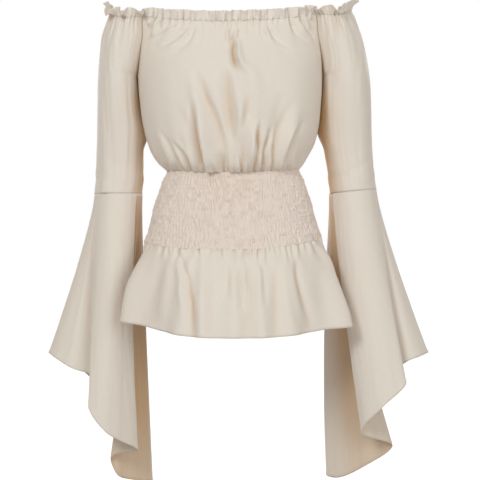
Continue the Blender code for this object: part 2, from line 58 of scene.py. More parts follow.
# The body of the garment: half widths at the wearer's right and left, and its depth in front of
# and behind the side seams.
BodyLevel = namedtuple("BodyLevel", "level right left front back")
BODY = (
    BodyLevel(-0.562, 0.1650, 0.1720, 0.1650, 0.1350),
    BodyLevel(-0.542, 0.1645, 0.1715, 0.1610, 0.1330),
    BodyLevel(-0.492, 0.1640, 0.1700, 0.1500, 0.1270),
    BodyLevel(-0.456, 0.1635, 0.1685, 0.1380, 0.1200),
    BodyLevel(-0.416, 0.1615, 0.1610, 0.1220, 0.1110),
    BodyLevel(-0.392, 0.1540, 0.1535, 0.1130, 0.1040),
    BodyLevel(-0.359, 0.1465, 0.1450, 0.1030, 0.0940),
    BodyLevel(-0.335, 0.1390, 0.1380, 0.0965, 0.0860),
    BodyLevel(-0.298, 0.1260, 0.1260, 0.0890, 0.0790),
    BodyLevel(-0.283, 0.1195, 0.1205, 0.0870, 0.0770),
    BodyLevel(-0.281, 0.1220, 0.1225, 0.0900, 0.0790),
    BodyLevel(-0.272, 0.1330, 0.1290, 0.1020, 0.0870),
    BodyLevel(-0.258, 0.1440, 0.1370, 0.1120, 0.0930),
    BodyLevel(-0.237, 0.1540, 0.1475, 0.1200, 0.0980),
    BodyLevel(-0.205, 0.1630, 0.1550, 0.1270, 0.1010),
    BodyLevel(-0.152, 0.1705, 0.1600, 0.1320, 0.1010),
    BodyLevel(-0.108, 0.1730, 0.1625, 0.1300, 0.0980),
    BodyLevel(-0.079, 0.1725, 0.1635, 0.1240, 0.0960),
    BodyLevel(-0.035, 0.1735, 0.1625, 0.1080, 0.0910),
    BodyLevel(0.011, 0.1870, 0.1685, 0.0950, 0.0850),
)
FRONT_SQUARENESS = 2.3
BACK_SQUARENESS = 2.0

# How far each level is pushed up or down at the four sides of the body, so that the seams dip.
SeamShift = namedtuple("SeamShift", "level right left front back")
SEAM_SHIFTS = (
    SeamShift(PEPLUM_HEM, 0.0130, 0.0020, -0.017, -0.010),
    SeamShift(WAIST_BOTTOM, 0.000, 0.012, -0.008, -0.004),
    SeamShift(WAIST_TOP, 0.0015, 0.004, -0.005, -0.001),
    SeamShift(UNDERARM, 0.0, 0.0, 0.0, 0.0),
    SeamShift(PANEL_TOP, 0.0, 0.0, 0.0, 0.0),
)
NECK_TILT = 0.013
NECK_DIP_FRONT = 0.029
NECK_DIP_BACK = 0.009
NECK_DIP_CURVE = 1.35

# The raglan seams run from the underarm to the neckline, at this angle from the side seam.
RAGLAN_ANGLE = 18.5
RAGLAN_CURVE = 0.4

# The sleeves' half sections, measured out from the middle of the body. centre is how far behind
# the side seams the arm hangs.
SleeveLevel = namedtuple("SleeveLevel", "level outer inner centre depth")
SLEEVES = {
    "right": (
        SleeveLevel(-0.3225, 0.2557, 0.1675, 0.030, 0.050),
        SleeveLevel(-0.284, 0.2530, 0.1640, 0.028, 0.050),
        SleeveLevel(-0.214, 0.2500, 0.1640, 0.018, 0.054),
        SleeveLevel(-0.166, 0.2485, 0.1715, 0.008, 0.057),
        SleeveLevel(-0.108, 0.2465, 0.1745, 0.000, 0.060),
        SleeveLevel(-0.073, 0.2440, 0.1745, 0.000, 0.063),
        SleeveLevel(-0.035, 0.2395, 0.1745, 0.000, 0.066),
        SleeveLevel(-0.010, 0.2310, 0.1745, 0.000, 0.067),
        SleeveLevel(0.011, 0.2225, 0.1745, 0.000, 0.066),
    ),
    "left": (
        SleeveLevel(-0.3225, 0.2645, 0.1775, 0.030, 0.050),
        SleeveLevel(-0.272, 0.2585, 0.1715, 0.027, 0.051),
        SleeveLevel(-0.214, 0.2545, 0.1630, 0.018, 0.054),
        SleeveLevel(-0.166, 0.2525, 0.1615, 0.008, 0.057),
        SleeveLevel(-0.108, 0.2485, 0.1638, 0.000, 0.060),
        SleeveLevel(-0.073, 0.2425, 0.1638, 0.000, 0.063),
        SleeveLevel(-0.035, 0.2330, 0.1638, 0.000, 0.066),
        SleeveLevel(-0.009, 0.2235, 0.1638, 0.000, 0.067),
        SleeveLevel(0.011, 0.2145, 0.1638, 0.000, 0.066),
    ),
}
SLEEVE_CLEARANCE = 0.0006

# A flounce's fold lines. Each runs from an angle on the elbow ring (0 outer, 90 front, 180 inner,
# 270 back) to a point of the hem. out is measured from the middle of the body, and bow is how far
# the line swings outward half way down.
FoldLine = namedtuple("FoldLine", "name ring out depth height bow", defaults=(0.0,))
FLOUNCES = {
    "right": (
        FoldLine("outer cone", -14, 0.3405, 0.030, -0.616),
        FoldLine("outer cone front", 4, 0.2965, -0.010, -0.641),
        FoldLine("valley behind front lobe", 14, 0.2460, -0.005, -0.662),
        FoldLine("front lobe outer edge", 26, 0.2630, -0.045, -0.706),
        FoldLine("front lobe", 92, 0.2300, -0.055, -0.753),
        FoldLine("front lobe inner edge", 136, 0.1750, -0.008, -0.792, 0.005),
        FoldLine("turned back layer", 164, 0.2240, 0.032, -0.810),
        FoldLine("turned back corner", 174, 0.2150, 0.048, -0.845),
        FoldLine("inner layer", 188, 0.1850, 0.070, -0.857),
        FoldLine("inner edge", 203, 0.1513, 0.095, -0.862),
        FoldLine("back lobe", 224, 0.1750, 0.135, -0.830),
        FoldLine("back valley", 246, 0.2220, 0.118, -0.762),
        FoldLine("back fold", 270, 0.2500, 0.142, -0.698),
        FoldLine("outer back", 300, 0.3000, 0.112, -0.644),
        FoldLine("outer side", 326, 0.3260, 0.070, -0.626),
    ),
    "left": (
        FoldLine("outer cone", -14, 0.3610, 0.030, -0.616),
        FoldLine("outer cone front", 4, 0.3320, -0.010, -0.624),
        FoldLine("valley behind front lobe", 14, 0.2920, -0.005, -0.641),
        FoldLine("front lobe outer edge", 26, 0.3125, -0.045, -0.666),
        FoldLine("front lobe", 92, 0.2700, -0.060, -0.708),
        FoldLine("front lobe inner edge", 146, 0.2310, -0.035, -0.755, -0.002),
        FoldLine("turned back layer", 168, 0.2930, 0.020, -0.789),
        FoldLine("turned back corner", 177, 0.2445, 0.040, -0.827),
        FoldLine("inner layer", 189, 0.1960, 0.070, -0.853, -0.004),
        FoldLine("inner edge", 203, 0.1745, 0.095, -0.851, -0.008),
        FoldLine("back lobe", 224, 0.2030, 0.135, -0.815, -0.004),
        FoldLine("back valley", 246, 0.2500, 0.118, -0.752),
        FoldLine("back fold", 270, 0.2800, 0.142, -0.694),
        FoldLine("outer back", 300, 0.3240, 0.112, -0.642),
        FoldLine("outer side", 326, 0.3490, 0.070, -0.626),
    ),
}
FLARE_POWER = 1.15

# The peplum's front corners swing out past the hips: how far, at each level.
CornerFlare = namedtuple("CornerFlare", "level right left")
CORNER_FLARES = (
    CornerFlare(-0.562, 0.0455, 0.0520),
    CornerFlare(-0.542, 0.0445, 0.0490),
    CornerFlare(-0.492, 0.0370, 0.0320),
    CornerFlare(-0.456, 0.0220, 0.0185),
    CornerFlare(-0.416, 0.000, 0.000),
)
CORNER_ANGLE = 20.0
CORNER_SPREAD = 9.0

# Gathers stand up from a seam and fade away from it over their reach.
Gathers = namedtuple("Gathers", "count height reach seed")
NECK_GATHERS_FRONT = Gathers(20, 0.0032, 0.045, 3)
NECK_GATHERS_BACK = Gathers(15, 0.0032, 0.045, 5)
NECK_GATHERS_SLEEVE = Gathers(8, 0.0030, 0.045, 7)
WAIST_GATHERS_FRONT = Gathers(15, 0.0048, 0.050, 11)
WAIST_GATHERS_BACK = Gathers(15, 0.0042, 0.045, 13)
PEPLUM_GATHERS_FRONT = Gathers(20, 0.0034, 0.030, 17)
PEPLUM_GATHERS_BACK = Gathers(15, 0.0034, 0.030, 19)

# The longest folds: a trough from one point to another of a panel. across is measured along X.
Fold = namedtuple("Fold", "top_across top_level foot_across foot_level width depth")
FRONT_FOLDS = (
    Fold(0.002, -0.028, 0.003, -0.115, 0.0075, 0.0055),
    Fold(-0.066, -0.120, -0.026, -0.275, 0.0090, 0.0050),
    Fold(-0.095, -0.175, -0.050, -0.275, 0.0090, 0.0050),
    Fold(-0.018, -0.110, 0.012, -0.275, 0.0100, 0.0055),
    Fold(0.034, -0.150, 0.030, -0.275, 0.0090, 0.0050),
    Fold(0.092, -0.140, 0.058, -0.275, 0.0100, 0.0055),
    Fold(0.120, -0.190, 0.088, -0.272, 0.0090, 0.0045),
    Fold(0.060, -0.010, 0.098, -0.075, 0.0080, 0.0040),
    Fold(-0.062, -0.010, -0.105, -0.070, 0.0080, 0.0040),
)
BACK_FOLDS = (
    Fold(0.070, -0.120, 0.040, -0.275, 0.0100, 0.0050),
    Fold(0.010, -0.150, 0.004, -0.275, 0.0100, 0.0050),
    Fold(-0.080, -0.130, -0.048, -0.275, 0.0100, 0.0050),
    Fold(-0.055, -0.010, -0.085, -0.075, 0.0080, 0.0040),
)

# The peplum hangs in soft waves: the angle of each crest, its spread and its height at the hem.
Wave = namedtuple("Wave", "angle spread height")
PEPLUM_WAVES = (
    Wave(216, 8.0, 0.010),
    Wave(236, 6.5, 0.009),
    Wave(253, 6.0, 0.011),
    Wave(270, 6.0, 0.008),
    Wave(287, 6.5, 0.011),
    Wave(306, 7.0, 0.009),
    Wave(324, 7.0, 0.008),
    Wave(38, 9.0, 0.007),
    Wave(62, 8.0, 0.010),
    Wave(84, 7.0, 0.009),
    Wave(104, 7.5, 0.010),
    Wave(126, 8.0, 0.009),
    Wave(148, 8.0, 0.007),
)

# The frill: waves in each stretch, and how many degrees it leans out and its waves swing.
Frill = namedtuple("Frill", "waves columns lean swing phase seed")
FRILL_FRONT = Frill(9.0, 40, 14.0, 14.0, 0.0, 23)
FRILL_BACK = Frill(9.0, 36, 14.0, 14.0, 0.0, 29)
FRILL_SLEEVE = Frill(6.25, 32, 26.0, 38.0, 1.3, 31)
FRONT = (180.0, 360.0)
BACK = (0.0, 180.0)
SIDES = {"left": 1.0, "right": -1.0}


def smooth_curve(places, values, keep_order=True):
    """A function through points: a cubic that never overshoots them, or with keep_order off one
    that rounds them more freely."""
    places = np.array(places, float)
    values = np.array(values, float)
    step = np.diff(places)
    rise = np.diff(values) / step
    tangent = np.concatenate([rise[:1], (rise[:-1] + rise[1:]) / 2, rise[-1:]])
    if keep_order:
        turns = rise[:-1] * rise[1:] <= 0
        limit = 2 * np.minimum(np.abs(rise[:-1]), np.abs(rise[1:]))
        inner = np.clip(tangent[1:-1], -limit, limit)
        tangent[1:-1] = np.where(turns, 0.0, inner)

    def at(place):
        place = np.clip(place, places[0], places[-1])
        i = np.clip(np.searchsorted(places, place, side="right") - 1, 0, len(step) - 1)
        t = (place - places[i]) / step[i]
        start = (1 + 2 * t) * (1 - t) ** 2 * values[i]
        end = t * t * (3 - 2 * t) * values[i + 1]
        bend = t * (1 - t) ** 2 * tangent[i] + t * t * (t - 1) * tangent[i + 1]
        return start + end + bend * step[i]

    return at


def columns_of(rows):
    """One smooth curve over the level for each other column of a table."""
    rows = sorted(rows, key=lambda row: row.level)
    names = [name for name in rows[0]._fields if name != "level"]
    levels = [row.level for row in rows]
    return {name: smooth_curve(levels, [getattr(r, name) for r in rows]) for name in names}


BODY_CURVES = columns_of(BODY)
SHIFT_CURVES = columns_of(SEAM_SHIFTS)
FLARE_CURVES = columns_of(CORNER_FLARES)
SLEEVE_CURVES = {side: columns_of(rows) for side, rows in SLEEVES.items()}


def uneven(index, seed):
    """A repeatable value from 0 to 1 for each index."""
    return np.abs(np.sin(index * 12.9898 + seed * 78.233) * 43758.5453) % 1.0


def turn_between(a, b):
    """The angle from b to a in degrees, from -180 to 180."""
    return (a - b + 180.0) % 360.0 - 180.0


def body_radius(angle, level):
    """The distance from the axis to the body's plain surface."""
    across = np.cos(np.radians(angle))
    through = np.sin(np.radians(angle))
    half_width = np.where(across >= 0, BODY_CURVES["left"](level), BODY_CURVES["right"](level))
    depth = np.where(through < 0, BODY_CURVES["front"](level), BODY_CURVES["back"](level))
    power = np.where(through < 0, FRONT_SQUARENESS, BACK_SQUARENESS)
    return (np.abs(across / half_width) ** power + np.abs(through / depth) ** power) ** (-1 / power)


def neck_height(across, through, level):
    """The neckline's tilt and its dips at the front and back, which fade down to the underarm."""
    share = np.clip((level - UNDERARM) / (PANEL_TOP - UNDERARM), 0.0, 1.0)
    front = NECK_DIP_FRONT * np.abs(through / BODY[-1].front) ** NECK_DIP_CURVE
    back = NECK_DIP_BACK * np.abs(through / BODY[-1].back) ** NECK_DIP_CURVE
    return share * (NECK_TILT * across - np.where(through < 0, front, back))


def body_height(angle, level, across, through):
    """The real height of a point of the body's surface."""
    side_weight = np.abs(np.cos(np.radians(angle))) ** 3
    side = np.where(
        np.cos(np.radians(angle)) >= 0, SHIFT_CURVES["left"](level), SHIFT_CURVES["right"](level)
    )
    face = np.where(
        np.sin(np.radians(angle)) < 0, SHIFT_CURVES["front"](level), SHIFT_CURVES["back"](level)
    )
    shift = side_weight * side + (1 - side_weight) * face
    return level + shift + neck_height(across, through, level)


def body_point(angle, level, relief=0.0):
    """A point of the body's surface, pushed out by its relief."""
    radius = body_radius(angle, level) + relief
    x = radius * np.cos(np.radians(angle))
    y = radius * np.sin(np.radians(angle))
    return np.stack([x, y, body_height(angle, level, x, y)], axis=-1)


def raglan_angle(level):
    """The raglan seam's angle from the side seam: none at the underarm."""
    share = np.clip((level - UNDERARM) / (PANEL_TOP - UNDERARM), 0.0, 1.0)
    return RAGLAN_ANGLE * share**RAGLAN_CURVE


def panel_angles(face, share, level):
    """The angle round the body at a share of a panel's width, between its two edges."""
    low, high = face
    seam = raglan_angle(level)
    gap = np.degrees(SIDE_SEAM_GAP / 2 / body_radius(low, level))
    start = low + seam + gap
    end = high - seam - gap
    return start + (end - start) * share


def gather_relief(gathers, share, distance):
    """Rounded ridges between the tucks of a gathered seam, uneven in height, length and place."""
    place = share * gathers.count + 0.18 * np.sin(2 * np.pi * (3 * share + gathers.seed))
    place = place - 0.18 * np.sin(2 * np.pi * gathers.seed)
    index = np.floor(place)
    height = gathers.height * (0.6 + 0.6 * uneven(index, gathers.seed))
    reach = gathers.reach * (0.5 + uneven(index + 31, gathers.seed))
    ridge = np.sin(np.pi * (place - index)) ** 2
    return height * ridge * np.exp(-((np.maximum(distance, 0.0) / reach) ** 1.4))


def fold_relief(folds, across, level):
    """Long troughs, deepest in their middle, that taper out at both ends."""
    relief = np.zeros(np.broadcast(across, level).shape)
    for fold in folds:
        share = (level - fold.top_level) / (fold.foot_level - fold.top_level)
        line = fold.top_across + (fold.foot_across - fold.top_across) * share
        taper = np.sin(np.pi * np.clip(share, 0.0, 1.0)) ** 0.8
        relief = relief - fold.depth * taper * np.exp(-(((across - line) / fold.width) ** 2))
    return relief


def edge_fade(share, width=0.08):
    """1 across a panel and 0 at its two side edges."""
    return np.clip(np.minimum(share, 1 - share) / width, 0.0, 1.0)


def peplum_relief(angle, level):
    """The swing of the front corners and the soft waves, from nothing at the waist to the hem."""
    fall = np.clip((WAIST_BOTTOM - level) / (WAIST_BOTTOM - PEPLUM_HEM), 0.0, 1.0)
    relief = np.zeros(np.broadcast(angle, level).shape)
    for wave in PEPLUM_WAVES:
        crest = np.exp(-((turn_between(angle, wave.angle) / wave.spread) ** 2))
        relief = relief + wave.height * fall**0.7 * crest
    for side, corner in (("right", 180.0 + CORNER_ANGLE), ("left", 360.0 - CORNER_ANGLE)):
        crest = np.exp(-((turn_between(angle, corner) / CORNER_SPREAD) ** 2))
        relief = relief + FLARE_CURVES[side](level) * crest
    return relief


def raglan_point(side, through, level):
    """Where the raglan seam lies on the body, as a distance out and a depth."""
    sign = SIDES[side]
    seam = raglan_angle(level) * through
    angle = seam if sign > 0 else 180.0 - seam
    radius = body_radius(angle, level)
    out = radius * np.abs(np.cos(np.radians(angle)))
    return out + SLEEVE_CLEARANCE, radius * np.sin(np.radians(angle))


def sleeve_outline(side, share, level):
    """Distance out and depth round a sleeve, from its front raglan edge by the outside to the
    back one. Below the underarm both edges are one line."""
    curves = SLEEVE_CURVES[side]
    outer, inner = curves["outer"](level), curves["inner"](level)
    centre, depth = curves["centre"](level), curves["depth"](level)
    level = np.broadcast_to(level, np.broadcast(share, level).shape)
    through = np.where(share < 0.5, -1.0, 1.0)
    seam_out, seam_depth = raglan_point(side, through, level)
    open_top = level > UNDERARM
    start_out = np.where(open_top, seam_out, inner)
    start_depth = np.where(open_top, np.abs(seam_depth), 0.0)
    start = np.arcsin(np.clip(start_depth / depth, 0.0, 1.0))
    half_width = (outer - start_out) / (1 + np.cos(start))
    turn = start + (np.pi - start) * np.where(share < 0.5, 2 * share, 2 - 2 * share)
    out = outer - half_width - half_width * np.cos(turn)
    return out, centre + through * depth * np.sin(turn)


def elbow_height(side, out):
    """The height of the elbow seam, which may rise towards the outside."""
    curves = SLEEVE_CURVES[side]
    inner, outer = curves["inner"](ELBOW), curves["outer"](ELBOW)
    return ELBOW + ELBOW_RISE[side] * (out - inner) / (outer - inner)


CLOTH = 0.0009
LIP = 0.0035
SMOCK_LINES = 19.0

# Creases drawn on the front, in metres across and up, with a ridge beside each trough.
Crease = namedtuple("Crease", "x0 z0 x1 z1 width depth bend")
FRONT_CREASES = (
    Crease(-0.0060, -0.010, -0.0010, -0.050, 0.0036, 0.0050, 0.0000),
    Crease(-0.0005, -0.026, 0.0065, -0.112, 0.0052, 0.0112, -0.0014),
    Crease(0.0100, -0.012, 0.0070, -0.046, 0.0026, 0.0034, 0.0000),
    Crease(-0.0130, -0.090, 0.0080, -0.262, 0.0112, 0.0098, -0.0030),
    Crease(-0.0620, -0.118, -0.0230, -0.282, 0.0098, 0.0098, 0.0070),
    Crease(-0.0730, -0.170, -0.0520, -0.286, 0.0084, 0.0088, -0.0030),
    Crease(-0.0360, -0.175, -0.0100, -0.284, 0.0077, 0.0070, 0.0040),
    Crease(0.0060, -0.080, 0.0170, -0.190, 0.0126, 0.0060, 0.0030),
    Crease(0.0480, -0.196, 0.0400, -0.284, 0.0058, 0.0088, 0.0020),
    Crease(0.1020, -0.168, 0.0730, -0.286, 0.0105, 0.0088, -0.0070),
    Crease(0.0270, -0.150, 0.0240, -0.284, 0.0084, 0.0070, -0.0030),
    Crease(0.0700, -0.205, 0.0560, -0.286, 0.0052, 0.0070, -0.0030),
    Crease(0.1220, -0.200, 0.0950, -0.288, 0.0062, 0.0077, -0.0060),
    Crease(-0.1100, -0.228, -0.0760, -0.288, 0.0060, 0.0046, 0.0040),
    Crease(-0.1260, -0.215, -0.0960, -0.286, 0.0052, 0.0034, 0.0050),
    Crease(-0.0860, -0.012, -0.1490, -0.066, 0.0062, 0.0050, 0.0050),
    Crease(-0.1030, -0.004, -0.1600, -0.044, 0.0046, 0.0036, 0.0040),
    Crease(-0.0700, -0.010, -0.0960, -0.058, 0.0058, 0.0034, 0.0030),
    Crease(0.0680, -0.014, 0.1120, -0.064, 0.0058, 0.0048, -0.0070),
    Crease(0.1080, -0.006, 0.1460, -0.054, 0.0050, 0.0050, -0.0070),
    Crease(0.1260, -0.002, 0.1500, -0.040, 0.0038, 0.0036, -0.0040),
    Crease(0.0480, -0.008, 0.0640, -0.046, 0.0050, 0.0030, 0.0000),
)
BACK_CREASES = (
    Crease(0.0700, -0.120, 0.0340, -0.284, 0.0105, 0.0095, 0.0050),
    Crease(0.0060, -0.130, 0.0000, -0.284, 0.0112, 0.0088, 0.0040),
    Crease(-0.0800, -0.125, -0.0420, -0.284, 0.0101, 0.0095, -0.0050),
    Crease(0.1040, -0.190, 0.0820, -0.286, 0.0084, 0.0081, -0.0030),
    Crease(-0.1120, -0.195, -0.0880, -0.286, 0.0084, 0.0081, 0.0030),
    Crease(0.0400, -0.190, 0.0200, -0.284, 0.0073, 0.0070, 0.0000),
    Crease(-0.0340, -0.180, -0.0180, -0.284, 0.0078, 0.0070, 0.0000),
    Crease(0.0900, -0.004, 0.1360, -0.056, 0.0056, 0.0044, -0.0050),
    Crease(-0.0920, -0.004, -0.1380, -0.058, 0.0056, 0.0044, 0.0050),
    Crease(0.0600, -0.006, 0.0800, -0.050, 0.0050, 0.0034, 0.0000),
    Crease(-0.0560, -0.006, -0.0700, -0.046, 0.0050, 0.0034, 0.0000),
)

# Tucks pinched by a gathered seam: where each starts, how far it runs, and how it leans.
Tuck = namedtuple("Tuck", "x reach lean width depth")
WAIST_TUCKS_FRONT = (
    Tuck(-0.112, 0.020, -0.35, 0.0030, 0.0030),
    Tuck(-0.100, 0.014, -0.30, 0.0024, 0.0026),
    Tuck(-0.088, 0.024, -0.45, 0.0028, 0.0034),
    Tuck(-0.0725, 0.034, -0.50, 0.0034, 0.0050),
    Tuck(-0.060, 0.014, -0.20, 0.0024, 0.0028),
    Tuck(-0.0458, 0.030, -0.42, 0.0034, 0.0050),
    Tuck(-0.032, 0.018, -0.20, 0.0026, 0.0030),
    Tuck(-0.0174, 0.036, -0.15, 0.0034, 0.0048),
    Tuck(-0.008, 0.014, -0.08, 0.0024, 0.0028),
    Tuck(0.0021, 0.034, 0.02, 0.0032, 0.0050),
    Tuck(0.0155, 0.046, 0.02, 0.0030, 0.0050),
    Tuck(0.027, 0.026, 0.05, 0.0028, 0.0042),
    Tuck(0.0377, 0.040, 0.05, 0.0030, 0.0046),
    Tuck(0.053, 0.030, 0.10, 0.0032, 0.0046),
    Tuck(0.062, 0.014, 0.12, 0.0024, 0.0028),
    Tuck(0.0704, 0.032, 0.16, 0.0030, 0.0044),
    Tuck(0.0865, 0.030, 0.25, 0.0030, 0.0042),
    Tuck(0.097, 0.016, 0.25, 0.0026, 0.0030),
    Tuck(0.107, 0.024, 0.35, 0.0030, 0.0038),
    Tuck(0.114, 0.014, 0.35, 0.0024, 0.0026),
)

# The peplum's own folds below its gathers, on the front.
PEPLUM_CREASES = (
    Crease(-0.0880, -0.432, -0.0660, -0.570, 0.0065, 0.0062, 0.0040),
    Crease(-0.1220, -0.436, -0.1400, -0.560, 0.0100, 0.0042, -0.0040),
    Crease(-0.0420, -0.446, -0.0360, -0.565, 0.0085, 0.0048, 0.0000),
    Crease(0.0120, -0.440, 0.0140, -0.520, 0.0050, 0.0045, 0.0000),
    Crease(0.0290, -0.436, 0.0300, -0.575, 0.0100, 0.0042, 0.0000),
    Crease(0.0760, -0.446, 0.0820, -0.560, 0.0080, 0.0050, -0.0030),
    Crease(0.1120, -0.440, 0.1400, -0.560, 0.0070, 0.0056, -0.0060),
    Crease(-0.0080, -0.440, -0.0100, -0.500, 0.0040, 0.0026, 0.0000),
    Crease(0.0520, -0.440, 0.0550, -0.510, 0.0045, 0.0026, 0.0000),
    Crease(0.1460, -0.430, 0.1580, -0.480, 0.0050, 0.0030, 0.0000),
)

# How far a sleeve's frill leans out, in degrees, from the raglan seams to the outermost point.
FRILL_LEANS = {
    "right": (
        (0.0, 30), (0.09, 80), (0.295, 4), (0.41, 92), (0.506, 6), (0.60, 60), (0.674, 96),
        (0.83, 12), (1.0, 38),
    ),
    "left": (
        (0.0, 30), (0.10, 74), (0.30, 4), (0.41, 88), (0.53, 24), (0.75, 6), (0.90, 14),
        (1.0, 44),
    ),
}

rng = np.random.default_rng(21)
LATTICE = rng.random((64, 64))


def noise(a, b):
    """Smooth repeatable noise from -1 to 1 over two coordinates."""
    a, b = np.broadcast_arrays(np.asarray(a, float), np.asarray(b, float))
    i, j = np.floor(a).astype(int), np.floor(b).astype(int)
    s, t = a - i, b - j
    s, t = s * s * s * (s * (6 * s - 15) + 10), t * t * t * (t * (6 * t - 15) + 10)
    corner = [[LATTICE[(i + di) % 64, (j + dj) % 64] for dj in (0, 1)] for di in (0, 1)]
    low = corner[0][0] * (1 - t) + corner[0][1] * t
    high = corner[1][0] * (1 - t) + corner[1][1] * t
    return 2 * (low * (1 - s) + high * s) - 1


def soft_step(value, start, end):
    """0 before start and 1 after end, smooth between."""
    t = np.clip((value - start) / (end - start), 0.0, 1.0)
    return t * t * (3 - 2 * t)


def crease_relief(creases, x, z):
    """Troughs with a lower ridge on one side, that taper out and waver a little."""
    relief = np.zeros(np.broadcast(x, z).shape)
    for n, c in enumerate(creases):
        share = (z - c.z0) / (c.z1 - c.z0)
        inside = np.clip(share, 0.0, 1.0)
        line = c.x0 + (c.x1 - c.x0) * share + c.bend * np.sin(np.pi * inside)
        line = line + 0.0016 * noise(z * 45 + 7 * n, 3.3 * n)
        offset = (x - line) / (c.width * (0.75 + 0.5 * inside))
        if -0.30 < c.z1 < -0.255:
            taper = soft_step(share, -0.12, 0.42) * (1 - soft_step(share, 0.96, 1.15))
        elif c.z0 > -0.02:
            taper = (1 - soft_step(share, 0.20, 1.08)) * soft_step(share, -0.14, 0.05)
        else:
            taper = np.sin(np.pi * np.clip(share * 0.92 + 0.04, 0.0, 1.0)) ** 0.7
            taper = taper * soft_step(share, -0.12, 0.06) * (1 - soft_step(share, 0.94, 1.12))
        side = 1 if n % 2 else -1
        shape = -np.exp(-(offset**2)) + 0.75 * np.exp(-((offset - 1.8 * side) ** 2) / 1.6)
        relief = relief + c.depth * taper * shape
    return relief


def tuck_relief(tucks, x, distance):
    """Short sharp tucks that open out as they leave the seam."""
    relief = np.zeros(np.broadcast(x, distance).shape)
    away = np.maximum(distance, 0.0)
    for tuck in tucks:
        line = tuck.x + tuck.lean * away
        width = tuck.width * (1 + 1.2 * away / tuck.reach)
        fade = np.exp(-((away / tuck.reach) ** 1.6))
        offset = (x - line) / width
        shape = -np.exp(-(offset**2)) + 0.5 * np.exp(-((offset + 1.6) ** 2) / 1.2)
        shape = shape + 0.35 * np.exp(-((offset - 1.6) ** 2) / 1.2)
        relief = relief + 1.35 * tuck.depth * fade * shape
    return relief


def even_tucks(count, low, high, reach, depth, seed, spread=0.0):
    """A row of uneven tucks between two places."""
    made = []
    for n in range(count):
        a, b, c, d = (float(uneven(n, seed + k)) for k in range(4))
        x = low + (high - low) * (n + 0.5 + 0.7 * (a - 0.5)) / count
        middle = (2 * x - low - high) / (high - low)
        made.append(
            Tuck(
                x,
                reach * (0.45 + 1.1 * b),
                spread * middle + 0.1 * (c - 0.5),
                0.0017 + 0.0014 * d,
                depth * (0.55 + 0.7 * c),
            )
        )
    return made


def grid_normals(points, closed):
    """The unit normal at each point of a grid, to the side that row cross column faces."""
    if closed:
        ring = np.concatenate([points[:, -2:-1], points, points[:, 1:2]], axis=1)
        across = (ring[:, 2:] - ring[:, :-2]) / 2
    else:
        across = np.gradient(points, axis=1)
    up = np.gradient(points, axis=0)
    normal = np.cross(across, up)
    return normal / np.maximum(np.linalg.norm(normal, axis=-1, keepdims=True), 1e-12)


# Reach and scale of the painted shade that darkens the cloth in its creases, taken from how deep
# each valley is.
VALLEY_SHADE_REACH = 0.012
VALLEY_SHADE_SCALE = 0.0055


def painted_valley_shade(points, normals, closed):
    """How far each point lies below its neighbours along the rows, from 0 to 1: the amount of
    painted shade that darkens the cloth's colour in its creases.
    """
    pitch = np.median(np.linalg.norm(np.diff(points, axis=1), axis=2))
    wide = max(1, int(VALLEY_SHADE_REACH / pitch))
    if closed:
        ring = np.concatenate([points[:, -wide - 1 : -1], points, points[:, 1 : wide + 1]], axis=1)
    else:
        ring = np.concatenate([points[:, :1]] * wide + [points] + [points[:, -1:]] * wide, axis=1)
    total = np.concatenate([np.zeros_like(ring[:, :1]), np.cumsum(ring, axis=1)], axis=1)
    mean = (total[:, 2 * wide + 1 :] - total[:, : -2 * wide - 1]) / (2 * wide + 1)
    below = ((mean - points) * normals).sum(axis=-1)
    if not closed:
        below[:, :wide] = below[:, -wide:] = 0.0
    return np.clip(below / VALLEY_SHADE_SCALE, 0.0, 1.0) ** 1.6


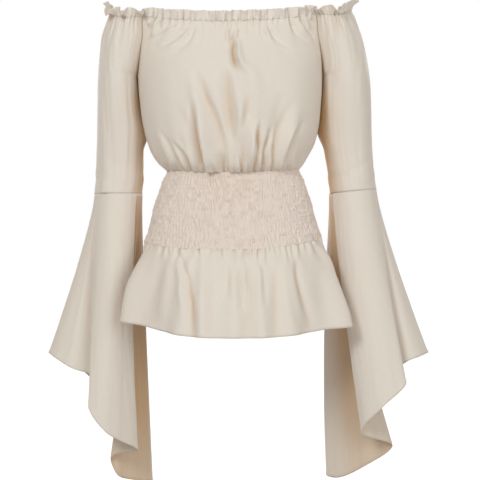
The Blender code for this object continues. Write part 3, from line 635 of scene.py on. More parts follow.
def shell(
    name, points, normals, closed_rows=None, lips=(), looks=None, shade=None
):
    """A thin closed sheet of cloth through a grid of points. Normals point outward. Lips are the
    edges that turn in as a seam allowance: bottom, top, start or end."""
    rows, columns = points.shape[:2]
    closed_rows = np.zeros(rows, bool) if closed_rows is None else np.asarray(closed_rows)
    # Painted shade: valley holds how much darker, warmer colour is painted into the creases, plus
    # any painted shade a panel adds or takes away.
    valley = painted_valley_shade(points, normals, bool(closed_rows.all()))
    if shade is not None:
        valley = np.clip(valley + shade, 0.0, 1.0)
    for edge in lips:
        grow = [(0, 0), (0, 0)]
        first, last = edge in ("bottom", "start"), edge in ("top", "end")
        grow[edge in ("start", "end")] = (int(first), int(last))
        valley = np.pad(valley, grow, mode="edge")
        if edge == "bottom":
            points = np.concatenate([points[:1] - LIP * normals[:1], points])
            normals = np.concatenate([normals[:1], normals])
            closed_rows = np.concatenate([closed_rows[:1], closed_rows])
        if edge == "top":
            points = np.concatenate([points, points[-1:] - LIP * normals[-1:]])
            normals = np.concatenate([normals, normals[-1:]])
            closed_rows = np.concatenate([closed_rows, closed_rows[-1:]])
        if edge == "start":
            points = np.concatenate([points[:, :1] - LIP * normals[:, :1], points], axis=1)
            normals = np.concatenate([normals[:, :1], normals], axis=1)
        if edge == "end":
            points = np.concatenate([points, points[:, -1:] - LIP * normals[:, -1:]], axis=1)
            normals = np.concatenate([normals, normals[:, -1:]], axis=1)
    rows, columns = points.shape[:2]
    index = np.arange(rows * columns).reshape(rows, columns)
    index[closed_rows, -1] = index[closed_rows, 0]
    along = np.linalg.norm(np.diff(points, axis=1), axis=2)
    u = np.concatenate([np.zeros((rows, 1)), np.cumsum(along, axis=1)], axis=1)
    u = np.broadcast_to(np.median(u, axis=0)[None, :], u.shape)
    up = np.median(np.linalg.norm(np.diff(points, axis=0), axis=2), axis=1)
    v = np.broadcast_to(np.concatenate([[0.0], np.cumsum(up)])[:, None], u.shape)
    a, b, c, d = index[:-1, :-1], index[:-1, 1:], index[1:, 1:], index[1:, :-1]
    faces = np.stack([a, b, c, d], axis=-1).reshape(-1, 4)
    spots = np.arange(rows * columns).reshape(rows, columns)
    corners = [spots[:-1, :-1], spots[:-1, 1:], spots[1:, 1:], spots[1:, :-1]]
    loops = np.stack(corners, axis=-1).reshape(-1, 4)
    flat = points.reshape(-1, 3)
    normal = np.cross(flat[faces[:, 1]] - flat[faces[:, 0]], flat[faces[:, 3]] - flat[faces[:, 0]])
    facing = (normal * normals.reshape(-1, 3)[faces[:, 0]]).sum(axis=1)
    if np.median(facing) < 0:
        faces, loops = faces[:, ::-1], loops[:, ::-1]
    used, new = np.unique(faces, return_inverse=True)
    faces = new.reshape(-1, 4)
    data = bpy.data.meshes.new(name)
    data.vertices.add(len(used))
    data.vertices.foreach_set("co", flat[used].ravel())
    data.loops.add(faces.size)
    data.loops.foreach_set("vertex_index", faces.ravel().astype(np.int32))
    data.polygons.add(len(faces))
    data.polygons.foreach_set("loop_start", np.arange(0, faces.size, 4, dtype=np.int32))
    data.polygons.foreach_set("loop_total", np.full(len(faces), 4, dtype=np.int32))
    layer = data.uv_layers.new(name="cloth")
    both = np.stack([u, v], axis=-1).reshape(-1, 2)
    layer.data.foreach_set("uv", both[loops.ravel()].ravel())
    # The fold attribute carries that painted shade to the materials.
    tint = data.attributes.new("fold", "FLOAT", "POINT")
    tint.data.foreach_set("value", valley.reshape(-1)[used].astype(np.float32))
    data.update(calc_edges=True)
    data.validate()
    data.shade_smooth()
    piece = bpy.data.objects.new(name, data)
    bpy.context.scene.collection.objects.link(piece)
    data.materials.append(looks[0])
    data.materials.append(looks[1])
    wall = piece.modifiers.new("wall", "SOLIDIFY")
    wall.thickness = CLOTH
    wall.offset = -1.0
    wall.material_offset = 1
    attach(piece, "root")
    return piece


def hem_relief(distance):
    """A narrow turned hem: a low band with a stitched groove at its upper edge."""
    band = 0.00045 * (1 - soft_step(distance, 0.0062, 0.0072))
    groove = -0.0004 * np.exp(-(((distance - 0.0068) / 0.0006) ** 2))
    return band + groove


def panel_share(columns):
    return np.linspace(0.0, 1.0, columns + 1)[None, :]


def length_along(points):
    """The distance of each point of a grid from its first column, by the middle row."""
    middle = points[len(points) // 2]
    step = np.linalg.norm(np.diff(middle, axis=0), axis=1)
    return np.concatenate([[0.0], np.cumsum(step)])[None, :]


def bodice(name, face, rows, columns, neck, waist, folds, creases, waist_tucks, neck_tucks, looks):
    """A bodice panel, from the waist seam up to the neckline elastic."""
    share = panel_share(columns)
    pace = np.linspace(0.0, 1.0, rows + 1)[:, None]
    low = np.array([WAIST_TOP, -0.278, -0.260, -0.225, UNDERARM, -0.055, -0.012, PANEL_TOP])
    at = np.array([0.0, 0.06, 0.19, 0.36, 0.64, 0.82, 0.94, 1.0])
    levels = smooth_curve(at, low)(pace)
    angle = panel_angles(face, share, levels)
    across = body_radius(angle, levels) * np.cos(np.radians(angle))
    relief = 0.75 * gather_relief(neck, share, PANEL_TOP - levels)
    relief = relief + 0.75 * gather_relief(waist, share, levels - WAIST_TOP)
    relief = relief + 0.6 * fold_relief(folds, across, levels)
    relief = relief + crease_relief(creases, across, levels)
    relief = relief + tuck_relief(waist_tucks, across, levels - WAIST_TOP)
    relief = relief + tuck_relief(neck_tucks, across, PANEL_TOP - levels)
    below_neck = soft_step(PANEL_TOP - levels, 0.01, 0.08)
    relief = relief + 0.0030 * noise(across * 15 + 3, levels * 6) * below_neck
    relief = relief + 0.00035 * noise(across * 60, levels * 22 + 5)
    ditch = -0.0005 * np.exp(-(((levels - WAIST_TOP) / 0.0012) ** 2))
    plain = body_point(angle, levels, relief * edge_fade(share, 0.05) + ditch)
    near = np.exp(-(((levels - WAIST_TOP) / 0.004) ** 2))
    near = near + np.exp(-(((levels - PANEL_TOP) / 0.004) ** 2))
    plain[..., 2] += 0.0008 * near * noise(across * 170, 4.0) * edge_fade(share, 0.02)
    normals = outward(grid_normals(plain, False), plain)
    # Less painted shade in the gathers just below the neckline.
    shade = -0.45 * np.exp(-(((PANEL_TOP - levels) / 0.040) ** 2))
    cloth, facing = plain, normals
    for first, second, order in ((0, 1, -1), (-1, -2, 1)):
        out = plain[:, first] - plain[:, second]
        out = out / np.linalg.norm(out, axis=1)[:, None]
        seam = (plain[:, first] + 0.0050 * out - 0.0008 * normals[:, first])[:, None]
        cloth = np.concatenate([cloth, seam][::order], axis=1)
        facing = np.concatenate([facing, normals[:, first][:, None]][::order], axis=1)
    piece = shell(name, cloth, facing, lips=("bottom",), looks=looks, shade=shade)
    return piece, plain, normals


def outward(normals, points):
    """The normals turned to point away from the body's axis."""
    middle = points.reshape(-1, 3).mean(axis=0)
    away = points - np.array([0.0, 0.0, 0.0])
    sign = np.sign((normals[..., :2] * away[..., :2]).sum(axis=-1).mean())
    return normals * (sign if sign else 1.0)


def smocking(name, face, rows, columns, looks):
    """Rows of elastic thread, with the cloth between them crinkled into small uneven puckers."""
    share = panel_share(columns)
    pace = np.linspace(0.0, 1.0, rows + 1)[:, None]
    levels = WAIST_BOTTOM - 0.0006 + (WAIST_TOP - WAIST_BOTTOM + 0.0012) * pace
    angle = panel_angles(face, share, levels)
    plain = body_point(angle, levels)
    along = length_along(plain)
    place = pace * SMOCK_LINES + 0.22 * noise(along * 30, pace * 5.0)
    index = np.floor(place)
    local = place - index

    def ribs(row):
        drift = 1.1 * noise(along * 55, row * 3.7) + 0.9 * uneven(row, 3)
        return along / 0.0055 + drift

    def lift(row):
        strength = np.clip(0.8 + 0.75 * noise(along * 170 + 5 * row, row * 1.9), 0.2, 1.5)
        return np.abs(np.cos(np.pi * ribs(row))) ** 1.5 * strength

    blend = soft_step(local, 0.25, 0.75)
    rib = lift(index) * (1 - blend) + lift(index + 1) * blend
    relief = 0.0030 * (rib - 0.30) + 0.0003 * noise(along * 24, place * 0.45)
    relief = relief - 0.00022 * np.exp(-(((local - 0.5) / 0.16) ** 2))
    edge = np.minimum(pace, 1 - pace) * (WAIST_TOP - WAIST_BOTTOM)
    relief = relief * (0.5 + 0.5 * edge_fade(share, 0.14))
    relief = relief * edge_fade(share, 0.008) * (0.35 + 0.65 * soft_step(edge, 0.0, 0.004))
    points = body_point(angle, levels, relief + 0.0004)
    normals = outward(grid_normals(points, False), points)
    piece = shell(
        name, points, normals, lips=("bottom", "top", "start", "end"), looks=looks
    )
    return piece, points, normals


def peplum(name, face, rows, columns, gathers, creases, tucks, looks):
    """A peplum half, from the hem up to the smocking."""
    share = panel_share(columns)
    pace = np.linspace(0.0, 1.0, rows + 1)[:, None] ** 0.8
    levels = PEPLUM_HEM + (WAIST_BOTTOM - PEPLUM_HEM) * pace
    angle = panel_angles(face, share, levels)
    fall = (WAIST_BOTTOM - levels) / (WAIST_BOTTOM - PEPLUM_HEM)
    across = body_radius(angle, levels) * np.cos(np.radians(angle))
    relief = peplum_relief(angle, levels)
    relief = relief + 0.8 * gather_relief(gathers, share, WAIST_BOTTOM - levels) * edge_fade(share)
    relief = relief + crease_relief(creases, across, levels) * edge_fade(share, 0.05)
    relief = relief + tuck_relief(tucks, across, WAIST_BOTTOM - levels) * edge_fade(share, 0.03)
    relief = relief + 0.0015 * fall * noise(angle / 7.0, levels * 6)
    relief = relief + 0.0004 * noise(across * 55, levels * 20) * edge_fade(share, 0.03)
    ditch = -0.0005 * np.exp(-(((levels - WAIST_BOTTOM) / 0.0012) ** 2))
    points = body_point(angle, levels, relief + ditch + hem_relief(levels - PEPLUM_HEM))
    near = np.exp(-(((levels - WAIST_BOTTOM) / 0.004) ** 2))
    points[..., 2] += (0.0018 * noise(across * 150, 6.0) + 0.0006) * near * edge_fade(share, 0.02)
    normals = outward(grid_normals(points, False), points)
    piece = shell(
        name, points, normals, lips=("top", "start", "end"), looks=looks
    )
    return piece, points, normals


def sleeve(side, rows, columns, looks):
    """A sleeve, from the elbow seam up to the neckline elastic."""
    share = panel_share(columns)
    pace = np.linspace(0.0, 1.0, rows + 1)[:, None]
    below = int(rows * 0.6)
    levels = np.concatenate(
        [
            np.linspace(ELBOW, UNDERARM, below + 1),
            UNDERARM + (PANEL_TOP - UNDERARM) * np.linspace(0, 1, rows - below + 1)[1:] ** 0.9,
        ]
    )[:, None]
    out, through = sleeve_outline(side, share, levels)
    seed = 41 if side == "left" else 43
    fade = 1 - (1 - edge_fade(share, 0.10)) * soft_step(levels, UNDERARM - 0.07, UNDERARM)
    tucks = even_tucks(17, 0.06, 0.94, 0.042, 0.0034, seed)
    tucks = [t._replace(width=t.width / 0.26) for t in tucks]
    relief = 0.7 * gather_relief(NECK_GATHERS_SLEEVE, share, PANEL_TOP - levels)
    relief = relief + tuck_relief(tucks, share, PANEL_TOP - levels)
    turn = np.cos(2 * np.pi * share), np.sin(2 * np.pi * share)
    wave = noise(3.1 * turn[0] + 9 + seed, 3.1 * turn[1] + levels * 5.0)
    relief = relief + 0.0016 * wave * soft_step(PANEL_TOP - levels, 0.02, 0.08)
    fine = noise(9 * turn[0] + seed, 9 * turn[1] + levels * 14)
    relief = relief + 0.0006 * fine
    drag = noise(2.0 * turn[0] + levels * 60 + seed, 2.4 * turn[1] + levels * 26)
    relief = relief + 0.0013 * drag * np.exp(-(((levels + 0.285) / 0.035) ** 2))
    middle = (SLEEVE_CURVES[side]["outer"](levels) + SLEEVE_CURVES[side]["inner"](levels)) / 2
    hip = np.full(levels.shape, 0.0 if side == "left" else 180.0)
    gap = SLEEVE_CURVES[side]["inner"](levels) - body_radius(hip, levels)
    opens, easing = (-0.192, 0.050) if side == "left" else (-0.214, 0.030)
    rest = 1 - soft_step(levels, UNDERARM - 0.012, UNDERARM + 0.002)
    rest = rest * soft_step(levels, opens - easing, opens)
    against = rest * np.maximum(gap + 0.0034, 0.0)
    against = against * np.exp(-(((through - 0.018) / 0.020) ** 2))
    out = out - against * soft_step(middle - out, 0.0, 0.02)
    reach = np.hypot(out - middle, through)
    relief = relief * fade - 0.0001 * np.exp(-(((levels - ELBOW) / 0.0012) ** 2))
    # Painted shade: a darker warm band along the sleeve's edges next to the bodice, stronger on the
    # left sleeve, where shade falls between sleeve and body.
    fade_down = soft_step(PANEL_TOP - levels, 0.045, 0.16)
    wide = 0.034 + 0.070 * soft_step(PANEL_TOP - levels, 0.09, 0.20)
    painted_shade_band = np.exp(-(((1 - share) / wide) ** 2)) + np.exp(-((share / wide) ** 2))
    shade = (1.5 if side == "left" else 1.1) * painted_shade_band * fade_down
    out = out + relief * (out - middle) / reach
    through = through + relief * through / reach
    across = out * SIDES[side]
    height = np.broadcast_to(levels + neck_height(across, through, levels), across.shape).copy()
    near = np.clip((ELBOW + 0.03 - levels) / 0.03, 0.0, 1.0)
    height += near * (elbow_height(side, out) - ELBOW)
    points = np.stack([across, np.broadcast_to(through, across.shape), height], axis=-1)
    normals = grid_normals(points, False)
    centre = np.stack([middle[:, 0] * SIDES[side], np.zeros(len(levels))], axis=-1)[:, None, :]
    sign = np.sign((normals[..., :2] * (points[..., :2] - centre)).sum(axis=-1).mean())
    normals = normals * sign
    closed = levels[:, 0] <= UNDERARM + 1e-6
    normals[closed, 0] = normals[closed, -1] = (normals[closed, 0] + normals[closed, -1]) / 2
    piece = shell(
        f"satin_sleeve_{side}", points, normals, closed, looks=looks, shade=shade
    )
    return piece, points, normals


def flounce(side, rows, columns, looks):
    """A draped bell flounce, from the hem up to the elbow seam."""
    lines = FLOUNCES[side]
    hem = np.array([(line.out, line.depth, line.height, line.bow) for line in lines])
    steps = np.linalg.norm(np.roll(hem, -1, axis=0)[:, :3] - hem[:, :3], axis=1)
    places = np.concatenate([[0.0], np.cumsum(steps)])
    length = places[-1]
    wrapped = np.concatenate([places[-4:-1] - length, places[:-1], places[:4] + length])
    place = np.linspace(0.0, length, columns + 1)
    rings = np.array([line.ring for line in lines], float)
    ring_values = np.concatenate([rings[-3:] - 360.0, rings, rings[:4] + 360.0])
    ring = np.radians(smooth_curve(wrapped, ring_values)(place))

    def round_hem(column):
        values = np.concatenate([hem[-3:, column], hem[:, column], hem[:4, column]])
        return smooth_curve(wrapped, values, keep_order=False)(place)

    curves = SLEEVE_CURVES[side]
    middle = (curves["outer"](ELBOW) + curves["inner"](ELBOW)) / 2
    half_width = (curves["outer"](ELBOW) - curves["inner"](ELBOW)) / 2
    top_out = middle + half_width * np.cos(ring)
    top_depth = curves["centre"](ELBOW) - curves["depth"](ELBOW) * np.sin(ring)
    top_height = elbow_height(side, top_out)
    fall = 1 - np.linspace(0.0, 1.0, rows + 1)[:, None]
    flare = fall**FLARE_POWER
    out = top_out + (round_hem(0) - top_out) * flare + 4 * fall * (1 - fall) * round_hem(3)
    through = top_depth + (round_hem(1) - top_depth) * flare
    height = top_height + (round_hem(2) - top_height) * fall
    points = np.stack([out * SIDES[side], through, height], axis=-1)
    points[:, -1] = points[:, 0]
    normals = grid_normals(points, True)
    top_middle = np.array([middle * SIDES[side], curves["centre"](ELBOW)])
    sign = np.sign((normals[-2, :, :2] * (points[-2, :, :2] - top_middle)).sum(axis=-1).mean())
    normals = normals * sign
    turn = 2 * np.pi * place / length
    seed = 3 if side == "left" else 11
    long_wave = noise(2.6 * np.cos(turn) + 12 + seed, 2.6 * np.sin(turn) + 12 + 0.8 * fall)
    short_wave = noise(7.5 * np.cos(turn) + 21 + seed, 7.5 * np.sin(turn) + 21 + 0.9 * fall)
    relief = 0.0027 * long_wave * fall + 0.0010 * short_wave * fall**1.5
    relief = relief + 0.0004 * noise(30 * np.cos(turn) + 31, 30 * np.sin(turn) + 31 + 9 * fall)
    edge, behind, corner, inner, rim = places[5:10]
    trough = edge + (behind - edge) * (0.30 + 0.08 * fall)
    start = soft_step(fall, 0.005, 0.10) * (1 - 0.55 * soft_step(fall, 0.80, 1.0))
    relief = relief - 0.008 * start * np.exp(-(((place - trough) / (0.0035 + 0.0065 * fall)) ** 2))
    # Painted shade on the flounce's inner layer, from just behind the front lobe's edge towards the
    # inner edge, where that layer lies in shadow.
    painted_shade_end = (rim - 0.012, rim + 0.004) if side == "right" else (corner + 0.004, rim)
    shade = soft_step(place, edge + 0.004, edge + 0.020) * (1 - soft_step(place, *painted_shade_end))
    shade = shade * (0.35 + 0.65 * soft_step(fall, -0.05, 0.10))
    shade = shade * (1 - 0.35 * soft_step(fall, 0.7, 1.0))
    shade = (0.85 if side == "right" else 0.72) * shade
    hem_distance = (1 - fall) * np.linalg.norm(points[0] - points[-1], axis=1)[None, :]
    relief = relief + hem_relief(hem_distance)
    relief = relief - 0.0001 * np.exp(-((fall / 0.003) ** 2))
    points = points + normals * relief[..., None]
    normals = grid_normals(points, True) * sign
    closed = np.ones(rows + 1, bool)
    piece = shell(
        f"satin_flounce_{side}", points, normals, closed, looks=looks, shade=shade
    )
    return piece, points, normals


def frill(name, edge, gathered, made, flip, columns, looks, leans=None):
    """A stretch of the header frill, on the gathered edge along the top of a panel."""
    share = np.linspace(0.0, 1.0, columns + 1)
    line = edge(share)
    spots = np.linspace(0.0, 1.0, len(gathered))
    pleats = np.stack([np.interp(share, spots, gathered[:, k]) for k in range(3)], axis=-1) - line
    along = np.gradient(line[:, :2], axis=0)
    along = along / np.linalg.norm(along, axis=1)[:, None]
    out = np.stack([along[:, 1], -along[:, 0]], axis=1) * (-1 if flip else 1)
    turns = share * made.waves + made.phase / (2 * np.pi)
    whole = np.floor(turns + 0.25)
    ease = soft_step(turns + 0.25 - whole, 0.0, 1.0)
    size = 0.75 + 0.5 * (
        uneven(whole, made.seed) * (1 - ease) + uneven(whole + 1, made.seed) * ease
    )
    swing = made.swing * size * np.sin(2 * np.pi * turns)
    swing = swing + 0.35 * made.swing * np.sin(2 * np.pi * turns * 2.3 + 1.1)
    near_start, near_end = np.exp(-share / 0.13), np.exp(-(1 - share) / 0.10)
    swing = swing + 24.0 * near_start * np.sin(2 * np.pi * share * 10 + 1.76)
    swing = swing + 24.0 * near_end * np.sin(2 * np.pi * (1 - share) * 12 + 0.79)
    tall = FRILL_HEIGHT * np.ones(columns + 1)
    if leans:
        places, values = np.array(leans, float).T
        outward_share = 1 - np.abs(2 * share - 1)
        wander = np.clip(outward_share + 0.018 * noise(share * 9, 3.0), 0.0, 1.0)
        swing = smooth_curve(places, values, keep_order=False)(wander) - made.lean
        swing = swing + 7.0 * noise(share * 34, 1.0)
        tall = tall * (1 + 0.22 * soft_step(outward_share, 0.80, 0.95))
    fade = edge_fade(share, 0.035)
    span = np.linalg.norm(np.diff(line, axis=0), axis=1).sum()
    tall = tall * (1 - 0.30 * np.exp(-((np.minimum(share, 1 - share) * span / 0.009) ** 2)))
    rows = []
    for rise in np.linspace(0.0, 1.0, 15):
        lean = np.radians((made.lean + swing * (0.5 + 0.5 * rise)) * fade)
        wander = 4 * noise(share * span * 45, 2.0)
        pinch = 0.0015 * np.sin(2 * np.pi * share * span / 0.0092 + wander)
        pinch = pinch * (1 - 0.8 * soft_step(rise, 0.1, 0.9)) * soft_step(rise, -0.05, 0.15) * fade
        row = line + pleats * (1 - 0.65 * rise)
        push = tall * rise * np.sin(lean) + pinch + hem_relief(tall * (1 - rise)) * 0.6
        row[:, :2] += out * push[:, None]
        row[:, 2] += 0.0001 + tall * rise * np.cos(lean)
        row[:, 2] += 0.0007 * rise * noise(share * 40, 8.0)
        rows.append(row)
    points = np.array(rows)
    normals = grid_normals(points, False)
    sign = np.sign((normals[..., :2] * out[None]).sum(axis=-1).mean())
    # Less painted shade in the frill's pleats.
    piece = shell(name, points, normals * sign, looks=looks, shade=-0.55)
    return piece, points, normals * sign


def body_edge(face):
    def edge(share):
        level = np.full(share.shape, PANEL_TOP)
        return body_point(panel_angles(face, share, level), level)

    return edge


def sleeve_edge(side):
    def edge(share):
        level = np.full(share.shape, PANEL_TOP)
        out, through = sleeve_outline(side, share, level)
        across = out * SIDES[side]
        return np.stack([across, through, level + neck_height(across, through, level)], axis=-1)

    return edge


STITCH_PITCH = 0.0031
STITCH_LENGTH = 0.0022
STITCH_WIDTH = 0.00045
STITCH_LIFT = 0.0001


def stitch_row(name, line, normals, looks):
    """Separate stitches laid along a line, each a small flat lozenge sunk into the cloth."""
    step = np.linalg.norm(np.diff(line, axis=0), axis=1)
    at = np.concatenate([[0.0], np.cumsum(step)])
    centres = np.arange(STITCH_PITCH, at[-1] - STITCH_PITCH, STITCH_PITCH)

    def sample(places, values):
        return np.stack([np.interp(places, at, values[:, k]) for k in range(3)], axis=-1)

    reach = STITCH_LENGTH / 2
    a, b = sample(centres - reach, line), sample(centres + reach, line)
    up = sample(centres, normals)
    up = up / np.linalg.norm(up, axis=1, keepdims=True)
    along = b - a
    along = along / np.linalg.norm(along, axis=1, keepdims=True)
    side = np.cross(up, along)
    middle = (a + b) / 2 + up * STITCH_LIFT
    half = STITCH_WIDTH / 2
    corners = np.stack(
        [
            a - up * half,
            middle - side * half,
            middle + up * half,
            middle + side * half,
            b - up * half,
            middle - up * half,
        ],
        axis=1,
    )
    shape = [(0, 1, 2), (0, 2, 3), (4, 2, 1), (4, 3, 2), (0, 5, 1), (0, 3, 5), (4, 1, 5), (4, 5, 3)]
    count = len(centres)
    faces = (np.array(shape)[None] + 6 * np.arange(count)[:, None, None]).reshape(-1, 3)
    data = bpy.data.meshes.new(name)
    data.from_pydata(corners.reshape(-1, 3).tolist(), [], faces.tolist())
    data.update()
    data.materials.append(looks)
    piece = bpy.data.objects.new(name, data)
    bpy.context.scene.collection.objects.link(piece)
    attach(piece, "root")
    return piece


def cloth_material(
    name, colour, warm, painted_fold_shade_colour, roughness, weave_strength, sheen=0.25, painted_fold_shade_share=0.9
):
    """Satin crepe: a fine twill weave, soft pebbling, slubs and faint colour drift, with painted
    shade: a darker warm colour mixed in by the fold attribute in creases and shaded strips.
    """
    made = bpy.data.materials.new(name)
    made.use_nodes = True
    tree = made.node_tree
    nodes, links = tree.nodes, tree.links
    shader = nodes["Principled BSDF"]
    shader.inputs["Sheen Weight"].default_value = sheen
    shader.inputs["Sheen Roughness"].default_value = 0.45
    shader.inputs["Specular IOR Level"].default_value = 0.38
    place = nodes.new("ShaderNodeUVMap")
    place.uv_map = "cloth"
    solid = nodes.new("ShaderNodeTexCoord")

    def texture(kind, vector, **settings):
        node = nodes.new(kind)
        links.new(vector, node.inputs["Vector"])
        for key, value in settings.items():
            if key in node.inputs:
                node.inputs[key].default_value = value
            else:
                setattr(node, key, value)
        return node

    drift = texture("ShaderNodeTexNoise", solid.outputs["Object"], Scale=7.0, Detail=3.0)
    slub_map = nodes.new("ShaderNodeMapping")
    slub_map.inputs["Scale"].default_value = (90.0, 1400.0, 1.0)
    links.new(place.outputs["UV"], slub_map.inputs["Vector"])
    slub = texture("ShaderNodeTexNoise", slub_map.outputs["Vector"], Scale=1.0, Detail=2.0)
    ramp = nodes.new("ShaderNodeMix")
    ramp.data_type = "RGBA"
    ramp.inputs[6].default_value = (*colour, 1.0)
    ramp.inputs[7].default_value = (*warm, 1.0)
    links.new(drift.outputs["Fac"], ramp.inputs[0])
    tint = nodes.new("ShaderNodeMix")
    tint.data_type = "RGBA"
    tint.blend_type = "MULTIPLY"
    tint.inputs[0].default_value = 0.10
    links.new(ramp.outputs[2], tint.inputs[6])
    links.new(slub.outputs["Color"], tint.inputs[7])
    # Painted shade: the fold attribute mixes the painted shade colour into the base colour, darkest
    # in deep creases.
    fold = nodes.new("ShaderNodeAttribute")
    fold.attribute_name = "fold"
    painted_fold_shade = nodes.new("ShaderNodeMix")
    painted_fold_shade.data_type = "RGBA"
    links.new(tint.outputs[2], painted_fold_shade.inputs[6])
    painted_fold_shade.inputs[7].default_value = (*painted_fold_shade_colour, 1.0)
    share = nodes.new("ShaderNodeMath")
    share.operation = "MULTIPLY"
    share.inputs[1].default_value = painted_fold_shade_share
    links.new(fold.outputs["Fac"], share.inputs[0])
    links.new(share.outputs[0], painted_fold_shade.inputs[0])
    links.new(painted_fold_shade.outputs[2], shader.inputs["Base Color"])

    warp_map = nodes.new("ShaderNodeMapping")
    warp_map.inputs["Rotation"].default_value = (0.0, 0.0, math.radians(28.0))
    links.new(place.outputs["UV"], warp_map.inputs["Vector"])
    twill = texture(
        "ShaderNodeTexWave", warp_map.outputs["Vector"], Scale=520.0, Distortion=0.6, Detail=1.0
    )
    weft = texture(
        "ShaderNodeTexWave", place.outputs["UV"], Scale=760.0, Distortion=0.4, bands_direction="Y"
    )
    pebble = texture("ShaderNodeTexNoise", place.outputs["UV"], Scale=420.0, Detail=3.0)
    soft = texture("ShaderNodeTexNoise", place.outputs["UV"], Scale=38.0, Detail=4.0)

    def combine(first, second, operation, value=None):
        node = nodes.new("ShaderNodeMath")
        node.operation = operation
        links.new(first, node.inputs[0])
        if value is None:
            links.new(second, node.inputs[1])
        else:
            node.inputs[1].default_value = value
        return node.outputs[0]

    weave = combine(twill.outputs["Fac"], weft.outputs["Fac"], "MULTIPLY")
    grain = combine(weave, pebble.outputs["Fac"], "ADD")
    bump = nodes.new("ShaderNodeBump")
    bump.inputs["Strength"].default_value = weave_strength
    bump.inputs["Distance"].default_value = 0.00012
    links.new(grain, bump.inputs["Height"])
    wide = nodes.new("ShaderNodeBump")
    wide.inputs["Strength"].default_value = 0.35
    wide.inputs["Distance"].default_value = 0.0012
    links.new(soft.outputs["Fac"], wide.inputs["Height"])
    links.new(wide.outputs["Normal"], bump.inputs["Normal"])
    links.new(bump.outputs["Normal"], shader.inputs["Normal"])
    gloss = combine(soft.outputs["Fac"], None, "MULTIPLY", 0.16)
    rough = combine(gloss, None, "ADD", roughness - 0.08)
    links.new(rough, shader.inputs["Roughness"])
    return made


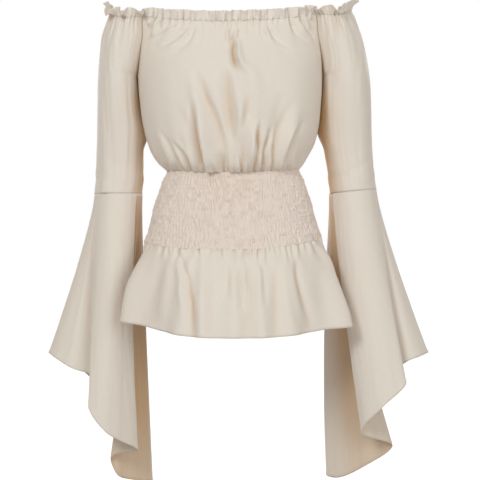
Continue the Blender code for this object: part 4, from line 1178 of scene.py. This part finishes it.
def build_top():
    # The darker warm colour painted into creases and shaded strips as painted shade.
    painted_fold_shade = (0.60, 0.35, 0.135)
    face = cloth_material("satin", (0.865, 0.785, 0.705), (0.85, 0.76, 0.67), painted_fold_shade, 0.55, 0.5)
    wrong = cloth_material(
        "satin wrong side", (0.83, 0.74, 0.63), (0.80, 0.70, 0.59), painted_fold_shade, 0.7, 0.6, 0.15, 0.15
    )
    # The smocked satin's third colour is its own painted shade in the puckers.
    crinkled = cloth_material(
        "smocked satin", (0.87, 0.755, 0.68), (0.85, 0.725, 0.645), (0.66, 0.47, 0.34), 0.62, 0.5
    )
    thread = cloth_material("thread", (0.84, 0.75, 0.63), (0.80, 0.70, 0.58), painted_fold_shade, 0.6, 0.4)
    satin = (face, wrong)
    smocked = (crinkled, wrong)
    pieces = {}

    neck_front = even_tucks(30, -0.165, 0.153, 0.020, 0.0020, 5, 0.25)
    neck_front = neck_front + [
        Tuck(-0.1600, 0.028, 0.25, 0.0025, 0.0059),
        Tuck(-0.1520, 0.034, -0.25, 0.0030, 0.0070),
        Tuck(-0.1430, 0.025, -0.35, 0.0025, 0.0056),
        Tuck(-0.1350, 0.039, -0.55, 0.0032, 0.0070),
        Tuck(-0.1240, 0.030, -0.50, 0.0028, 0.0053),
        Tuck(-0.1120, 0.034, -0.45, 0.0030, 0.0048),
        Tuck(-0.0900, 0.025, -0.30, 0.0028, 0.0042),
        Tuck(0.1000, 0.028, 0.40, 0.0028, 0.0048),
        Tuck(0.1180, 0.034, 0.55, 0.0030, 0.0062),
        Tuck(0.1300, 0.030, 0.50, 0.0028, 0.0064),
        Tuck(0.1410, 0.025, 0.25, 0.0025, 0.0059),
    ]
    neck_back = even_tucks(32, -0.160, 0.150, 0.020, 0.0024, 9, 0.25)
    waist_back = even_tucks(24, -0.112, 0.112, 0.026, 0.0040, 13, 0.35)
    pieces["bodice_front"] = bodice(
        "satin_bodice_front", FRONT, 140, 210, NECK_GATHERS_FRONT, WAIST_GATHERS_FRONT,
        FRONT_FOLDS, FRONT_CREASES, WAIST_TUCKS_FRONT, neck_front, satin,
    )
    pieces["bodice_back"] = bodice(
        "satin_bodice_back", BACK, 120, 170, NECK_GATHERS_BACK, WAIST_GATHERS_BACK,
        BACK_FOLDS, BACK_CREASES, waist_back, neck_back, satin,
    )
    pieces["waist_front"] = smocking("smocked_waist_front", FRONT, 100, 460, smocked)
    pieces["waist_back"] = smocking("smocked_waist_back", BACK, 100, 340, smocked)
    peplum_front = even_tucks(40, -0.158, 0.156, 0.016, 0.0030, 17, 0.3)
    peplum_back = even_tucks(36, -0.156, 0.154, 0.016, 0.0030, 19, 0.3)
    pieces["peplum_front"] = peplum(
        "satin_peplum_front", FRONT, 70, 260, PEPLUM_GATHERS_FRONT, PEPLUM_CREASES,
        peplum_front, satin,
    )
    pieces["peplum_back"] = peplum(
        "satin_peplum_back", BACK, 60, 200, PEPLUM_GATHERS_BACK, (), peplum_back, satin
    )
    for side in SIDES:
        pieces[f"sleeve_{side}"] = sleeve(side, 112, 132, satin)
        pieces[f"flounce_{side}"] = flounce(side, 72, 240, satin)
        pieces[f"frill_{side}"] = frill(
            f"satin_frill_{side}", sleeve_edge(side), pieces[f"sleeve_{side}"][1][-1],
            FRILL_SLEEVE, side == "right", 200, satin, FRILL_LEANS[side],
        )
    pieces["frill_front"] = frill(
        "satin_frill_front", body_edge(FRONT), pieces["bodice_front"][1][-1],
        FRILL_FRONT, False, 260, satin,
    )
    pieces["frill_back"] = frill(
        "satin_frill_back", body_edge(BACK), pieces["bodice_back"][1][-1],
        FRILL_BACK, False, 240, satin,
    )
    for node, (piece, _, _) in pieces.items():
        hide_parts(node)

    stitches = {}
    for side in SIDES:
        _, points, normals = pieces[f"flounce_{side}"]
        elbow = stitch_row(
            f"stitches_elbow_{side}", row_up(points[::-1], 0.0018), normals[-2], thread
        )
        hem = stitch_row(f"stitches_hem_{side}", row_up(points, 0.0068), normals[1], thread)
        stitches[f"flounce_{side}"] = [elbow, hem]
    for half in ("front", "back"):
        _, points, normals = pieces[f"peplum_{half}"]
        row = row_up(points, 0.0068)
        seam = stitch_row(f"stitches_peplum_{half}", row, normals[1], thread)
        stitches[f"peplum_{half}"] = [seam]
    for part in ("front", "back", "left", "right"):
        _, points, normals = pieces[f"frill_{part}"]
        seam = stitch_row(f"stitches_neck_{part}", points[2], normals[2], thread)
        stitches[f"frill_{part}"] = [seam]
    return pieces, stitches


def row_up(points, rise):
    """The line on a grid's cloth that lies so far from its first row."""
    step = np.linalg.norm(np.diff(points, axis=0), axis=2)
    up = np.concatenate([np.zeros((1, points.shape[1])), np.cumsum(step, axis=0)])
    line = []
    for column in range(points.shape[1]):
        line.append(
            [np.interp(rise, up[:, column], points[:, column, k]) for k in range(3)]
        )
    return np.array(line)


def plain_material(name, colour, roughness, glow=0.0):
    made = bpy.data.materials.new(name)
    made.use_nodes = True
    shader = made.node_tree.nodes["Principled BSDF"]
    shader.inputs["Base Color"].default_value = (*colour, 1.0)
    shader.inputs["Roughness"].default_value = roughness
    shader.inputs["Emission Color"].default_value = (1.0, 1.0, 1.0, 1.0)
    shader.inputs["Emission Strength"].default_value = glow
    return made


def studio():
    """A pale floor, soft lights, and a level camera in front."""
    scene = bpy.context.scene
    scene.view_settings.view_transform = "Standard"
    floor_mesh = bpy.data.meshes.new("floor")
    reach = 60.0
    corners = [(-reach, -reach, 0), (reach, -reach, 0), (reach, reach, 0), (-reach, reach, 0)]
    floor_mesh.from_pydata(corners, [], [(0, 1, 2, 3)])
    floor_mesh.materials.append(plain_material("floor", (0.9, 0.9, 0.9), 0.9, 0.8))
    floor = bpy.data.objects.new("floor", floor_mesh)
    floor.location = (0.0, 0.0, -1.36)
    floor.visible_diffuse = False
    scene.collection.objects.link(floor)

    world = bpy.data.worlds.new("studio")
    scene.world = world
    world.use_nodes = True
    nodes, links = world.node_tree.nodes, world.node_tree.links
    seen = nodes["Background"]
    seen.inputs["Color"].default_value = (1.0, 1.0, 1.0, 1.0)
    seen.inputs["Strength"].default_value = 1.0
    fill = nodes.new("ShaderNodeBackground")
    fill.inputs["Color"].default_value = (1.0, 0.93, 0.84, 1.0)
    fill.inputs["Strength"].default_value = 0.41
    path = nodes.new("ShaderNodeLightPath")
    mix = nodes.new("ShaderNodeMixShader")
    links.new(path.outputs["Is Camera Ray"], mix.inputs[0])
    links.new(fill.outputs[0], mix.inputs[1])
    links.new(seen.outputs[0], mix.inputs[2])
    links.new(mix.outputs[0], nodes["World Output"].inputs["Surface"])

    def softbox(name, place, aim, size, power, colour):
        light = bpy.data.lights.new(name, "AREA")
        light.shape = "RECTANGLE"
        light.size, light.size_y = size
        light.energy = power
        light.color = colour
        lamp = bpy.data.objects.new(name, light)
        lamp.location = place
        lamp.rotation_euler = (Vector(aim) - Vector(place)).to_track_quat("-Z", "Y").to_euler()
        lamp.visible_camera = False
        scene.collection.objects.link(lamp)

    cool = (0.90, 0.97, 1.0)
    softbox("key", (-1.5, -3.3, 1.5), (0, 0, -0.4), (1.0, 1.2), 58, cool)
    softbox("front", (2.0, -3.3, 0.3), (0, 0, -0.45), (2.2, 2.2), 42, cool)
    softbox("back", (1.6, 3.0, 1.2), (0, 0, -0.4), (1.6, 1.6), 42, cool)
    softbox("back left", (-1.8, 2.8, 0.8), (0, 0, -0.4), (2.0, 2.0), 26, cool)

    camera = bpy.data.cameras.new("camera")
    camera.sensor_width = 36.0
    camera.lens = 131.1
    view = bpy.data.objects.new("camera", camera)
    view.location = (0.0128, -3.2, -0.408)
    view.rotation_euler = (math.radians(90.0), 0.0, 0.0)
    scene.collection.objects.link(view)
    scene.camera = view
    scene.cycles.use_denoising = True


top, top_stitches = build_top()
studio()
